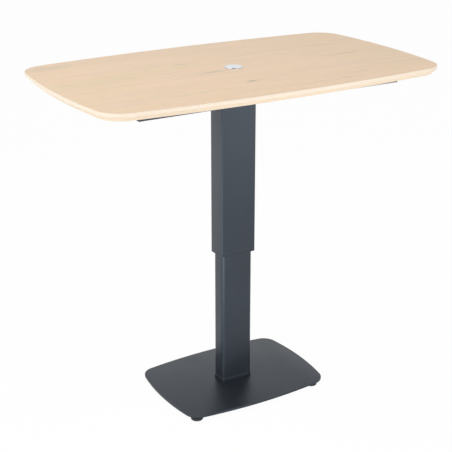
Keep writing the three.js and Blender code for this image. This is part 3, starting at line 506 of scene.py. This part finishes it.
def outward(name, build, sharp_degrees=SHARP_DEGREES):
    """Turns what was built into a mesh, with its faces pointing outwards."""
    bmesh.ops.recalc_face_normals(build, faces=build.faces)
    mesh = bpy.data.meshes.new(name)
    build.to_mesh(mesh)
    build.free()
    return smooth(mesh, sharp_degrees)


def skin(build, rows, closed):
    """Joins rows of vertices by faces. A closed skin also joins its last row to its first."""
    pairs = list(zip(rows, rows[1:]))
    if closed:
        pairs.append((rows[-1], rows[0]))
    for low, high in pairs:
        for i in range(len(low)):
            j = (i + 1) % len(low)
            build.faces.new(list(dict.fromkeys((low[i], low[j], high[j], high[i]))))


def loft(name, rings, closed, sharp_degrees=SHARP_DEGREES):
    """Skins rings of equal length. A closed loft joins its last ring to its first; an open one gets end caps."""
    build = bmesh.new()
    rows = [[build.verts.new(p) for p in ring] for ring in rings]
    skin(build, rows, closed)
    if not closed:
        build.faces.new(list(reversed(rows[0])))
        build.faces.new(rows[-1])
    return outward(name, build, sharp_degrees)


print("points in a rounded corner:", len(quarter_round(MM)))

# %% [markdown]
# ## Pieces
# A finished mesh becomes a piece: it gets its finishes, rides on one of the imported model's bodies, and hides the
# imported nodes that it stands for.


# %% Pieces and places
def new_piece(name, mesh, body, finishes, replaced=()):
    piece = bpy.data.objects.new(name, mesh)
    scene.collection.objects.link(piece)
    for finish in finishes:
        if finish.name not in mesh.materials:
            mesh.materials.append(finish)
    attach(piece, body)
    if replaced:
        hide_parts(*replaced)


def middle(node):
    low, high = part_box(node)
    return (low + high) / 2


def underside(node):
    """The middle of a node's underside."""
    low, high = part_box(node)
    return Vector(((low.x + high.x) / 2, (low.y + high.y) / 2, low.z))


print("middle of the top:", [round(v, 3) for v in middle("table_top")])

# %% [markdown]
# ## The oak top
# The edge stands upright for 10 mm and then runs in at 45 degrees to the underside, which makes a 25 mm board look
# thin. The top arris is eased so that it is kind to a forearm. The rings run from the hole's lower edge, out along
# the underside, up the edge and back over the face to the hole, in one closed loft.

# %% Oak top
top_low, top_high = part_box("table_top")
TOP = dict(
    length=top_high.x - top_low.x,
    width=top_high.y - top_low.y,
    long_bow=30 * MM,
    short_bow=28 * MM,
    corner=85 * MM,
)
BEVEL = 15 * MM
ARRIS = 1.6 * MM
HOLE = 27 * MM
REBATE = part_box("grommet_ring")[1].x + 0.3 * MM
REBATE_DEPTH = 1.5 * MM
outline = barrel_outline(inset=0, **TOP)
face_z = top_high.z
under_z = top_low.z


def hole_ring(radius, z):
    return [Vector((x, y, 0)).normalized() * radius + Vector((0, 0, z)) for x, y in outline]


rings = [hole_ring(HOLE, under_z), at_height(barrel_outline(inset=BEVEL, **TOP), under_z)]
rings.append(at_height(outline, under_z + BEVEL))
for step_in, step_up in quarter_round(ARRIS):
    rings.append(at_height(barrel_outline(inset=step_in, **TOP), face_z - ARRIS + step_up))
rings.append(hole_ring(REBATE, face_z))
rings.append(hole_ring(REBATE, face_z - REBATE_DEPTH))
rings.append(hole_ring(HOLE, face_z - REBATE_DEPTH))
top_mesh = loft("oak_top", rings, closed=True)
top_mesh.materials.append(oak_face)
top_mesh.materials.append(oak_edge)
for face in top_mesh.polygons:
    face.material_index = 0 if abs(face.normal.z) > 0.9 else 1
new_piece("oak_top", top_mesh, "top", [oak_face, oak_edge], ["table_top"])
print("oak top faces:", len(top_mesh.polygons))

# %% [markdown]
# ## The base plate
# A plate of 8 mm steel is cut to the same kind of outline, its edges are eased and it is powder coated. Its underside
# keeps the blind holes for the feet and the countersunk holes for the column's bolts. The holes are turned shapes,
# cut out with a Boolean, so the two helpers for that come first.


# %% Turning and cutting
def turn(name, profile, centre, steps):
    """Turns [radius, z] points about a vertical axis through centre. A profile off the axis closes on itself."""
    build = bmesh.new()
    angles = [2 * math.pi * i / steps for i in range(steps)]
    rows = []
    for radius, z in profile:
        if radius == 0:
            rows.append([build.verts.new((centre[0], centre[1], z))] * steps)
        else:
            ring = [(centre[0] + radius * math.cos(a), centre[1] + radius * math.sin(a), z) for a in angles]
            rows.append([build.verts.new(p) for p in ring])
    skin(build, rows, closed=profile[0][0] > 0)
    return outward(name, build)


def plain_mesh(name, source):
    """What an object's modifiers make, as a plain mesh."""
    bpy.context.view_layer.update()
    depsgraph = bpy.context.evaluated_depsgraph_get()
    result = bpy.data.meshes.new_from_object(source.evaluated_get(depsgraph))
    result.name = name
    return result


def cut_holes(name, mesh, cutters):
    """Cuts plain cutter meshes out of a mesh and returns the result as a new mesh."""
    blank = bpy.data.objects.new(name + "_blank", mesh)
    scene.collection.objects.link(blank)
    tools = []
    for cutter in cutters:
        tool = bpy.data.objects.new(name + "_cutter", cutter)
        scene.collection.objects.link(tool)
        tools.append(tool)
        cut = blank.modifiers.new("hole", "BOOLEAN")
        cut.operation = "DIFFERENCE"
        cut.solver = "EXACT"
        cut.object = tool
    result = plain_mesh(name, blank)
    for helper in [blank, *tools]:
        bpy.data.objects.remove(helper)
    return smooth(result)


print("turning and cutting ready")

# %% Base plate: outline
base_low, base_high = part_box("base_plate")
BASE = dict(
    length=base_high.x - base_low.x,
    width=base_high.y - base_low.y,
    long_bow=20 * MM,
    short_bow=20 * MM,
    corner=49 * MM,
)
EASE = 1.0 * MM
rings = []
for step_in, step_up in reversed(quarter_round(EASE)):
    rings.append(at_height(barrel_outline(inset=step_in, **BASE), base_low.z + EASE - step_up))
for step_in, step_up in quarter_round(EASE):
    rings.append(at_height(barrel_outline(inset=step_in, **BASE), base_high.z - EASE + step_up))
blank_mesh = loft("base_plate_blank", rings, closed=False)
print("base plate:", round(BASE["length"] / MM), "x", round(BASE["width"] / MM), "mm")

# %% Base plate: holes
FOUR = (1, 2, 3, 4)
STUD_BORE = 5.3 * MM
SINK_RADIUS = 8.3 * MM
SINK_DEPTH = 4.4 * MM
BOLT_BORE = 4.3 * MM
CLEAR = 0.3 * MM
HOLE_STEPS = 32
below = base_low.z - MM
above = base_high.z + MM
bore_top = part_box("foot_stud_1")[1].z + CLEAR
bore = [(0, below), (STUD_BORE, below), (STUD_BORE, bore_top), (0, bore_top)]
sink = [
    (0, below),
    (SINK_RADIUS, below),
    (SINK_RADIUS, base_low.z),
    (BOLT_BORE, base_low.z + SINK_DEPTH),
    (BOLT_BORE, above),
    (0, above),
]
cutters = [turn("stud_bore", bore, middle(f"foot_pad_{n}"), HOLE_STEPS) for n in FOUR]
cutters += [turn("bolt_sink", sink, middle(f"base_bolt_{n}"), HOLE_STEPS) for n in FOUR]
base_mesh = cut_holes("base_plate_steel", blank_mesh, cutters)
new_piece("base_plate_steel", base_mesh, "base", [powder_coat], ["base_plate"])
print("base plate faces:", len(base_mesh.polygons))

# %% [markdown]
# ## The column
# Two rectangular steel tubes slide in each other. The outer, upper one has nearly sharp corners and the inner, lower
# one is well rounded. Each is a closed loft: up the outside, over the end and down the bore, with eased ends.

# %% Column tubes
TUBE_WALL = 2 * MM
TUBE_EASE = 0.5 * MM
LEAST_CORNER = 0.4 * MM
UPPER_CORNER = 3.2 * MM
LOWER_CORNER = 12 * MM


def rounded_rectangle(width, depth, radius, steps=14):
    x = width / 2 - radius
    y = depth / 2 - radius
    turns = [((x, y), 0), ((-x, y), 90), ((-x, -y), 180), ((x, -y), 270)]
    points = []
    for centre, start in turns:
        corner = arc(centre, radius, math.radians(start), math.radians(start + 90), steps)
        end = math.radians(start + 90)
        points += corner + [(centre[0] + radius * math.cos(end), centre[1] + radius * math.sin(end))]
    return points


def steel_tube(name, node, corner, body):
    low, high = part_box(node)
    width = high.x - low.x
    depth = high.y - low.y
    wall, ease = TUBE_WALL, TUBE_EASE
    levels = [(ease, low.z), (0, low.z + ease), (0, high.z - ease), (ease, high.z)]
    levels += [(wall - ease / 2, high.z), (wall, high.z - ease), (wall, low.z + ease), (wall - ease / 2, low.z)]
    rings = []
    for inset, z in levels:
        section = rounded_rectangle(width - 2 * inset, depth - 2 * inset, max(corner - inset, LEAST_CORNER))
        rings.append(at_height(section, z))
    mesh = loft(name, rings, closed=True, sharp_degrees=40)
    new_piece(name, mesh, body, [powder_coat], [node])
    print(name, "faces:", len(mesh.polygons))


steel_tube("upper_tube_steel", "upper_tube", UPPER_CORNER, "top")
steel_tube("lower_tube_steel", "lower_tube", LOWER_CORNER, "base")

# %% [markdown]
# ## Welds
# The lower tube is welded to its flange, the upper tube to the head plate, and the crossbars to the rails. A weld is
# a bead that follows a path, which is what Geometry Nodes are good at: a curve is the path, a small circle is the
# section, and a slow noise along the path gives the bead its slight ripple. Each weld below is then only a path.


# %% Geometry Nodes helpers
def geometry_tree(name, sizes):
    """An empty Geometry Nodes tree with geometry in and out and one named number for each size."""
    tree = bpy.data.node_groups.new(name, "GeometryNodeTree")
    tree.interface.new_socket("Geometry", in_out="INPUT", socket_type="NodeSocketGeometry")
    for label in sizes:
        tree.interface.new_socket(label, in_out="INPUT", socket_type="NodeSocketFloat")
    tree.interface.new_socket("Geometry", in_out="OUTPUT", socket_type="NodeSocketGeometry")
    return tree, add_node(tree, "NodeGroupInput"), add_node(tree, "NodeGroupOutput")


def end_tree(tree, group_out, geometry, finish):
    """Ends a tree: its copies become real and everything gets the finish."""
    real = add_node(tree, "GeometryNodeRealizeInstances", {"Geometry": geometry})
    finished = add_node(tree, "GeometryNodeSetMaterial", {"Geometry": real.outputs[0], "Material": finish})
    tree.links.new(finished.outputs[0], group_out.inputs["Geometry"])


def grow(name, source, tree, sizes):
    """Runs a Geometry Nodes tree on a source mesh and returns the result as a plain mesh."""
    carrier = bpy.data.objects.new(name + "_carrier", source)
    scene.collection.objects.link(carrier)
    modifier = carrier.modifiers.new("grow", "NODES")
    modifier.node_group = tree
    for socket in tree.interface.items_tree:
        if socket.in_out == "INPUT" and socket.name in sizes:
            modifier[socket.identifier] = sizes[socket.name]
    result = plain_mesh(name, carrier)
    bpy.data.objects.remove(carrier)
    return result


print("geometry helpers ready")

# %% The weld bead
BEAD = {"Bead Radius": 1.1 * MM, "Ripple": 0.5 * MM, "Step": 1.4 * MM}
RIPPLE_SCALE = 240.0
bead_tree, bead_in, bead_out = geometry_tree("weld_bead", list(BEAD))
path = add_node(bead_tree, "GeometryNodeMeshToCurve", {"Mesh": bead_in.outputs["Geometry"]})
step_inputs = {"Curve": path.outputs[0], "Length": bead_in.outputs["Step"]}
even = add_node(bead_tree, "GeometryNodeResampleCurve", step_inputs, mode="LENGTH")
ripple = add_node(bead_tree, "ShaderNodeTexNoise", {"Scale": RIPPLE_SCALE, "Detail": 1.0})
swing = {0: ripple.outputs[0], 1: bead_in.outputs["Ripple"], 2: bead_in.outputs["Bead Radius"]}
swing = add_node(bead_tree, "ShaderNodeMath", swing, operation="MULTIPLY_ADD")
thick = add_node(bead_tree, "GeometryNodeSetCurveRadius", {"Curve": even.outputs[0], "Radius": swing.outputs[0]})
section = add_node(bead_tree, "GeometryNodeCurvePrimitiveCircle", {"Resolution": 10, "Radius": 1.0})
swept = {"Curve": thick.outputs[0], "Profile Curve": section.outputs[0], "Scale": swing.outputs[0], "Fill Caps": True}
swept = add_node(bead_tree, "GeometryNodeCurveToMesh", swept)
end_tree(bead_tree, bead_out, swept.outputs[0], powder_coat)


def weld(name, paths, closed, body):
    """A weld bead along each path, all in one mesh."""
    mesh = bpy.data.meshes.new(name + "_path")
    points = []
    edges = []
    for path_points in paths:
        first = len(points)
        points += path_points
        edges += [(i, i + 1) for i in range(first, len(points) - 1)]
        if closed:
            edges.append((len(points) - 1, first))
    mesh.from_pydata(points, edges, [])
    bead = grow(name, mesh, bead_tree, BEAD)
    bead.shade_smooth()
    new_piece(name, bead, body, [])
    print(name, "faces:", len(bead.polygons))


print("bead sizes:", BEAD)

# %% Welds of the column and the frame
BEAD_RISE = 0.4 * MM
FRAME_CORNER = 2 * MM
foot_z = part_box("column_flange")[1].z + BEAD_RISE
head_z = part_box("head_plate")[0].z - BEAD_RISE
TUBE_WELDS = (
    ("column_foot_weld", "lower_tube", LOWER_CORNER, 6, foot_z, "base"),
    ("column_head_weld", "upper_tube", UPPER_CORNER, 4, head_z, "top"),
)
for name, node, corner, steps, z, body in TUBE_WELDS:
    low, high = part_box(node)
    tube_outline = rounded_rectangle(high.x - low.x, high.y - low.y, corner, steps)
    weld(name, [at_height(tube_outline, z)], True, body)

frame_paths = []
for name in ("crossbar_left", "crossbar_right"):
    low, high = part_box(name)
    bend_z = low.z + FRAME_CORNER
    end_z = high.z - FRAME_CORNER
    path_xz = [(low.x, end_z), (low.x, bend_z), (low.x + FRAME_CORNER, low.z)]
    path_xz += [(high.x - FRAME_CORNER, low.z), (high.x, bend_z), (high.x, end_z)]
    for end_y in (low.y, high.y):
        frame_paths.append([Vector((x, end_y, z)) for x, z in path_xz])
weld("frame_welds", frame_paths, False, "top")
print("beads on the frame:", len(frame_paths))

# %% [markdown]
# ## The grommet
# The cable grommet is a turned aluminium ring, let into the top, and a cap that turns in it. The cap is slightly
# domed, with a rounded rim, and a slot from its rim inwards lets cables out. The end of the slot slopes like a ramp,
# so that no cable bends over a sharp edge. The slot's own shape is lofted and cut out with a Boolean.

# %% Grommet ring
ROUND_STEPS = 96
RING_BORE = 24.5 * MM
RING_OUTSIDE = 26.7 * MM
FLANGE = 1.2 * MM
BREAK = 0.3 * MM
ring_low, ring_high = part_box("grommet_ring")
ring_profile = [
    (RING_BORE, ring_low.z),
    (RING_OUTSIDE, ring_low.z),
    (RING_OUTSIDE, ring_high.z - FLANGE),
    (ring_high.x, ring_high.z - FLANGE),
    (ring_high.x, ring_high.z - BREAK),
    (ring_high.x - BREAK, ring_high.z),
    (RING_BORE + BREAK, ring_high.z),
    (RING_BORE, ring_high.z - BREAK),
]
ring_mesh = turn("grommet_ring_turned", ring_profile, (0, 0), ROUND_STEPS)
new_piece("grommet_ring_turned", ring_mesh, "top", [silver], ["grommet_ring"])
print("grommet ring faces:", len(ring_mesh.polygons))

# %% Grommet cap
SKIRT_BORE = 22.2 * MM
SKIRT = 24.2 * MM
CAP_THICKNESS = 2.4 * MM
CAP_RIM = 1.2 * MM
CAP_BREAK = 0.4 * MM
cap_low, cap_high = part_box("grommet_cap")
cap_radius = cap_high.x
cap_under = cap_high.z - CAP_THICKNESS
rim_z = cap_high.z - 0.3 * MM
cap_profile = [
    (0, cap_under),
    (SKIRT_BORE, cap_under),
    (SKIRT_BORE, cap_low.z),
    (SKIRT, cap_low.z),
    (SKIRT, cap_under),
    (cap_radius - CAP_BREAK, cap_under),
    (cap_radius, cap_under + CAP_BREAK),
]
for step_in, step_up in quarter_round(CAP_RIM, 5):
    cap_profile.append((cap_radius - step_in, rim_z - CAP_RIM + step_up))
cap_profile += [(18 * MM, cap_high.z - 0.1 * MM), (0, cap_high.z)]
cap_blank = turn("grommet_cap_blank", cap_profile, (0, 0), ROUND_STEPS)
print("grommet cap radius:", round(cap_radius / MM, 1), "mm")

# %% Slot of the grommet cap
SLOT_ANGLE = math.radians(-117)
SLOT_HALF = 6 * MM
SLOT_CENTRE = 7 * MM
SLOT_RAMP = 0.9 * MM
SLOT_REACH = 32 * MM
slot_levels = [
    (SLOT_RAMP, cap_low.z - MM),
    (SLOT_RAMP, cap_under + 0.2 * MM),
    (0, cap_high.z - 0.1 * MM),
    (0, cap_high.z + MM),
]
slot_rings = []
for ramp, z in slot_levels:
    slot_end = cap_radius - SLOT_CENTRE + ramp
    slot_outline = arc((slot_end, 0), SLOT_HALF, math.pi / 2, 3 * math.pi / 2, 16)
    slot_outline += [(slot_end, -SLOT_HALF), (SLOT_REACH, -SLOT_HALF), (SLOT_REACH, SLOT_HALF)]
    slot_rings.append(at_height(slot_outline, z))
slot_mesh = loft("grommet_slot", slot_rings, closed=False)
slot_mesh.transform(Matrix.Rotation(SLOT_ANGLE, 4, "Z"))
cap_mesh = cut_holes("grommet_cap_turned", cap_blank, [slot_mesh])
new_piece("grommet_cap_turned", cap_mesh, "grommet_cap", [silver], ["grommet_cap"])
print("grommet cap faces:", len(cap_mesh.polygons))

# %% [markdown]
# ## Feet
# Each foot is a moulded pad on a threaded stud. The pad's rim is rounded, and a shallow groove runs round its side
# where the two halves of the mould met.

# %% Foot pads
PAD_RADIUS = 20 * MM
PAD_ROUND = 2.5 * MM
PAD_SOLE = 17 * MM
PAD_TOP = 13 * MM
PAD_FLOOR = 4.0 * MM
SEAM_DEPTH = 0.5 * MM
seam = PAD_RADIUS - SEAM_DEPTH
for number in FOUR:
    node = f"foot_pad_{number}"
    name = f"foot_pad_moulded_{number}"
    pad_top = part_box(node)[1].z
    profile = [(0, 0), (PAD_SOLE, 0)]
    for step_in, step_up in reversed(quarter_round(PAD_ROUND, 5)):
        profile.append((PAD_RADIUS - step_in, PAD_ROUND - step_up))
    profile += [(PAD_RADIUS, 4.4 * MM), (seam, 4.7 * MM), (seam, 5.1 * MM), (PAD_RADIUS, 5.4 * MM)]
    profile += [(PAD_RADIUS, pad_top - 5.2 * MM), (PAD_RADIUS - 0.9 * MM, pad_top - 4.3 * MM), (PAD_TOP, pad_top)]
    profile += [(STUD_BORE, pad_top), (STUD_BORE, PAD_FLOOR), (0, PAD_FLOOR)]
    pad_mesh = turn(name, profile, middle(node), 64)
    new_piece(name, pad_mesh, node, [pad_plastic], [node])
print("pad radius:", round(PAD_RADIUS / MM), "mm")

# %% [markdown]
# ## Screws and bolts
# Identical fasteners repeat, so each kind is modelled once and Geometry Nodes copy it to its places. The places are
# the vertices of a small mesh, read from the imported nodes. The copies are made real at the end, so that the whole set
# is one plain mesh on its body.

# %% Copying a shape to its places
copy_tree, copy_in, copy_out = geometry_tree("copy_to_places", ["Turn"])
copy_tree.interface.new_socket("Shape", in_out="INPUT", socket_type="NodeSocketObject")
copy_tree.interface.new_socket("Finish", in_out="INPUT", socket_type="NodeSocketMaterial")
shape = add_node(copy_tree, "GeometryNodeObjectInfo", {"Object": copy_in.outputs["Shape"]})
turned = add_node(copy_tree, "ShaderNodeCombineXYZ", {"Z": copy_in.outputs["Turn"]})
copies = {"Points": copy_in.outputs["Geometry"], "Instance": shape.outputs["Geometry"], "Rotation": turned.outputs[0]}
copies = add_node(copy_tree, "GeometryNodeInstanceOnPoints", copies)
end_tree(copy_tree, copy_out, copies.outputs[0], copy_in.outputs["Finish"])


def copy_to(places, name, shape_mesh, body, finish, replaced=(), turn_degrees=0):
    """A piece with a copy of the shape at every place."""
    pattern = bpy.data.objects.new(name + "_pattern", shape_mesh)
    scene.collection.objects.link(pattern)
    points = bpy.data.meshes.new(name + "_places")
    points.from_pydata(places, [], [])
    sizes = {"Turn": math.radians(turn_degrees), "Shape": pattern, "Finish": finish}
    copies_mesh = grow(name, points, copy_tree, sizes)
    bpy.data.objects.remove(pattern)
    new_piece(name, copies_mesh, body, [], replaced)


print("inputs of the tree:", [socket.name for socket in copy_tree.interface.items_tree])


# %% Fastener shapes
def extruded(name, outline, low, high):
    return loft(name, [at_height(outline, low), at_height(outline, high)], closed=False)


def hexagon_outline(across_flats):
    radius = across_flats / math.sqrt(3)
    return arc((0, 0), radius, 0, 2 * math.pi, 6)


def joined(name, meshes):
    build = bmesh.new()
    for mesh in meshes:
        build.from_mesh(mesh)
    return outward(name, build)


def height_of(node):
    low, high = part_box(node)
    return high.z - low.z


print("hexagon corners:", len(hexagon_outline(13 * MM)))

# %% Hexagon bolts of the head plate
HEAD_HEIGHT = 5.3 * MM
HEAD_FLATS = 13 * MM
HEAD_CHAMFER = 0.9 * MM
CHAMFER_SHARE = 0.9
SHANK = 4 * MM
SHANK_STEPS = 28
head_bolts = [f"head_bolt_{n}" for n in FOUR]
bolt_height = height_of(head_bolts[0])
hexagon = hexagon_outline(HEAD_FLATS)
chamfered = [(x * CHAMFER_SHARE, y * CHAMFER_SHARE) for x, y in hexagon]
head_rings = [at_height(chamfered, 0), at_height(hexagon, HEAD_CHAMFER), at_height(hexagon, HEAD_HEIGHT)]
head = loft("hexagon_head", head_rings, closed=False)
shank_profile = [
    (0, HEAD_HEIGHT - MM),
    (SHANK, HEAD_HEIGHT - MM),
    (SHANK, bolt_height - MM),
    (SHANK - 0.8 * MM, bolt_height),
    (0, bolt_height),
]
shank = turn("bolt_shank", shank_profile, (0, 0), SHANK_STEPS)
head_bolt = joined("head_bolt", [head, shank])
places = [underside(node) for node in head_bolts]
copy_to(places, "head_bolts", head_bolt, "top", zinc, head_bolts, turn_degrees=30)
print("head bolts:", len(places))

# %% Wood screws of the rails
PAN_HEIGHT = 3.2 * MM
PAN_RADIUS = 5 * MM
SCREW_RADIUS = 2.5 * MM
SCREW_POINT = 4 * MM
ARM = 2.6 * MM
ARM_HALF = 0.5 * MM
top_screws = [f"top_screw_{n}" for n in range(1, 9)]
screw_height = height_of(top_screws[0])
screw_profile = [
    (0, 0),
    (3.2 * MM, 0),
    (4.5 * MM, 0.8 * MM),
    (PAN_RADIUS, 2.0 * MM),
    (PAN_RADIUS, PAN_HEIGHT),
    (SCREW_RADIUS, PAN_HEIGHT),
    (SCREW_RADIUS, screw_height - SCREW_POINT),
    (0, screw_height),
]
screw_blank = turn("wood_screw_blank", screw_profile, (0, 0), SHANK_STEPS)
arm_outline = [(-ARM, -ARM_HALF), (ARM, -ARM_HALF), (ARM, ARM_HALF), (-ARM, ARM_HALF)]
cross = []
for arm_degrees in (0, 90):
    arm = extruded("cross_arm", arm_outline, -MM, 1.6 * MM)
    arm.transform(Matrix.Rotation(math.radians(arm_degrees), 4, "Z"))
    cross.append(arm)
wood_screw = cut_holes("wood_screw", screw_blank, cross)
places = [underside(node) for node in top_screws]
copy_to(places, "wood_screws", wood_screw, "top", zinc, top_screws, turn_degrees=20)
print("wood screws:", len(places))

# %% Screws of the control box and the handset
plate_low, plate_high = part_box("control_plate")
handset_low, handset_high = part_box("handset")
PLATE_INSET = Vector((7 * MM, 12 * MM))
HANDSET_INSET = 10 * MM
places = []
for x in (plate_low.x + PLATE_INSET.x, plate_high.x - PLATE_INSET.x):
    for y in (plate_low.y + PLATE_INSET.y, plate_high.y - PLATE_INSET.y):
        places.append(Vector((x, y, plate_low.z - PAN_HEIGHT)))
for x in (handset_low.x + HANDSET_INSET, handset_high.x - HANDSET_INSET):
    places.append(Vector((x, handset_low.y + HANDSET_INSET, handset_low.z - PAN_HEIGHT)))
copy_to(places, "fixing_screws", wood_screw, "top", zinc, turn_degrees=35)
print("fixing screws:", len(places))

# %% Countersunk bolts of the base plate
SUNK_HEAD = 8 * MM
SUNK_RIM = 0.3 * MM
base_bolts = [f"base_bolt_{n}" for n in FOUR]
sunk_height = height_of(base_bolts[0])
sunk_profile = [
    (0, 0),
    (SUNK_HEAD - 0.6 * MM, 0),
    (SUNK_HEAD, SUNK_RIM),
    (SHANK, SINK_DEPTH),
    (SHANK, sunk_height),
    (0, sunk_height),
]
socket_cut = extruded("hexagon_socket", hexagon_outline(5 * MM), -MM, 2.5 * MM)
sunk_bolt = cut_holes("sunk_bolt", turn("sunk_bolt_blank", sunk_profile, (0, 0), 36), [socket_cut])
places = [underside(node) for node in base_bolts]
copy_to(places, "base_bolts", sunk_bolt, "base", zinc, base_bolts)
print("base bolts:", len(places))

# %% [markdown]
# ## The lift screw
# The motor turns a trapezoidal screw with two starts and a lead of 8 mm. Its thread follows a helix, so Geometry
# Nodes sweep a small section along a spiral curve, twice, and join the turns to a plain core.

# %% Thread of the lift screw
thread_tree, thread_in, thread_out = geometry_tree("screw_thread", ["Length", "Turns", "Radius", "Start Height"])
screw_x = middle("lift_screw").x
RIDGE = 1.0 * MM
lift = add_node(thread_tree, "ShaderNodeCombineXYZ", {"X": screw_x, "Z": thread_in.outputs["Start Height"]})
both = add_node(thread_tree, "GeometryNodeJoinGeometry")
for start_angle in (0, math.pi):
    helix = {
        "Resolution": 20,
        "Rotations": thread_in.outputs["Turns"],
        "Start Radius": thread_in.outputs["Radius"],
        "End Radius": thread_in.outputs["Radius"],
        "Height": thread_in.outputs["Length"],
    }
    helix = add_node(thread_tree, "GeometryNodeCurveSpiral", helix)
    placed = {"Geometry": helix.outputs[0], "Translation": lift.outputs[0], "Rotation": (0, 0, start_angle)}
    placed = add_node(thread_tree, "GeometryNodeTransform", placed)
    thread_tree.links.new(placed.outputs[0], both.inputs[0])
section = add_node(thread_tree, "GeometryNodeCurvePrimitiveCircle", {"Resolution": 6, "Radius": RIDGE})
ridge = {"Curve": both.outputs[0], "Profile Curve": section.outputs[0], "Fill Caps": True}
ridge = add_node(thread_tree, "GeometryNodeCurveToMesh", ridge)
with_core = add_node(thread_tree, "GeometryNodeJoinGeometry")
thread_tree.links.new(ridge.outputs[0], with_core.inputs[0])
thread_tree.links.new(thread_in.outputs["Geometry"], with_core.inputs[0])
end_tree(thread_tree, thread_out, with_core.outputs[0], turned_steel)
print("nodes in the thread's tree:", len(thread_tree.nodes))

# %% Lift screw
LEAD = 8 * MM
CORE = 5.9 * MM
CORE_CHAMFER = 0.8 * MM
COLLAR = 11 * MM
COLLAR_HEIGHT = 4 * MM
JOURNAL = 7 * MM
screw_low, screw_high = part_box("lift_screw")
collar_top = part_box("gearbox")[0].z - CLEAR
collar_low = collar_top - COLLAR_HEIGHT
core_profile = [
    (0, screw_low.z),
    (CORE - CORE_CHAMFER, screw_low.z),
    (CORE, screw_low.z + CORE_CHAMFER),
    (CORE, collar_low),
    (COLLAR, collar_low),
    (COLLAR, collar_top),
    (JOURNAL, collar_top),
    (JOURNAL, screw_high.z),
    (0, screw_high.z),
]
core_mesh = turn("lift_screw_core", core_profile, (screw_x, 0), 48)
thread_length = collar_low - screw_low.z - 3 * MM
thread_sizes = {
    "Length": thread_length,
    "Turns": thread_length / LEAD,
    "Radius": CORE + 0.1 * MM,
    "Start Height": screw_low.z + 1.5 * MM,
}
thread_mesh = smooth(grow("lift_screw_threaded", core_mesh, thread_tree, thread_sizes), 35)
new_piece("lift_screw_threaded", thread_mesh, "lift_screw", [], ["lift_screw"])
print("thread turns:", round(thread_length / LEAD, 1))

# %% [markdown]
# ## Control box and handset
# The control box gets a row of cooling ribs on its underside, one rib copied along a line, and its mains inlet three
# flat contact blades. The handset's two buttons carry raised arrows, up and down, that a finger can feel.

# %% Cooling ribs
RIB_PITCH = 8 * MM
RIB_COUNT = 18
rib_outline = rounded_rectangle(2.4 * MM, 62 * MM, 1.1 * MM, 4)
narrow_outline = [(x * 0.5, y * 0.98) for x, y in rib_outline]
rib = loft("cooling_rib", [at_height(narrow_outline, -1.2 * MM), at_height(rib_outline, 0.2 * MM)], closed=False)
case_under = underside("control_case")
rib_shifts = [(i - (RIB_COUNT - 1) / 2) * RIB_PITCH for i in range(RIB_COUNT)]
places = [case_under + Vector((shift, 0, 0)) for shift in rib_shifts]
copy_to(places, "cooling_ribs", rib, "top", black_abs)
print("cooling ribs:", len(places))

# %% Contact blades of the mains inlet
BLADE_PLACES = ((-7 * MM, -2 * MM), (0, 2 * MM), (7 * MM, -2 * MM))
inlet_middle = middle("mains_inlet")
inlet_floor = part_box("mains_inlet")[0].x + 4 * MM
blade_outline = rounded_rectangle(4 * MM, 2 * MM, 0.4 * MM, 3)
tip_outline = [(x * 0.7, y * 0.6) for x, y in blade_outline]
blade_rings = [at_height(blade_outline, -0.5 * MM), at_height(blade_outline, 13 * MM), at_height(tip_outline, 14 * MM)]
blade = loft("contact_blade", blade_rings, closed=False)
blade.transform(Matrix.Rotation(math.pi / 2, 4, "Y"))
places = [Vector((inlet_floor, inlet_middle.y + y, inlet_middle.z + z)) for y, z in BLADE_PLACES]
copy_to(places, "contact_blades", blade, "top", zinc)
print("contact blades:", len(places))

# %% Arrows on the buttons
ARROW = 2.6 * MM
upright = Matrix.Rotation(-math.pi / 2, 4, "X") @ Matrix.Scale(-1, 4, (0, 1, 0))
for button, up in (("button_up", 1), ("button_down", -1)):
    button_middle = middle(button)
    front = Vector((button_middle.x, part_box(button)[1].y, button_middle.z))
    triangle = [(-ARROW, -0.5 * ARROW * up), (ARROW, -0.5 * ARROW * up), (0, 0.8 * ARROW * up)]
    blank = extruded("arrow_blank", triangle, -0.2 * MM, 0.35 * MM)
    blank.transform(Matrix.Translation(front) @ upright)
    arrow = joined(button + "_arrow", [blank])
    new_piece(button + "_arrow", arrow, button, [black_abs])
print("arrow half width:", round(ARROW / MM, 1), "mm")

# %% [markdown]
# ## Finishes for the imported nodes
# Every node that shows as it was packed gets the finish of its real material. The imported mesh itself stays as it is.

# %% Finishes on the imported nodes
node_finishes = {
    powder_coat: ["rail_front", "rail_rear", "crossbar_left", "crossbar_right", "head_plate", "column_flange"],
    black_abs: ["control_case", "mains_inlet", "handset"],
    guide_acetal: ["mouth_guide", "crown_guide"],
    button_abs: ["button_up", "button_down"],
    turned_steel: ["screw_bearing", "nut_tube", "motor"],
    cast_alloy: ["gearbox"],
    bronze: ["screw_nut"],
    zinc: [f"foot_stud_{n}" for n in FOUR],
}
node_finishes[powder_coat] += ["control_plate"] + [f"foot_nut_{n}" for n in FOUR]
for side in ("front", "rear"):
    for end in ("left", "right"):
        node_finishes[black_abs].append(f"rail_cap_{side}_{end}")
for finish, names in node_finishes.items():
    for name in names:
        nodes[name].data.materials.clear()
        nodes[name].data.materials.append(finish)
print("nodes with a finish:", sum(len(names) for names in node_finishes.values()))
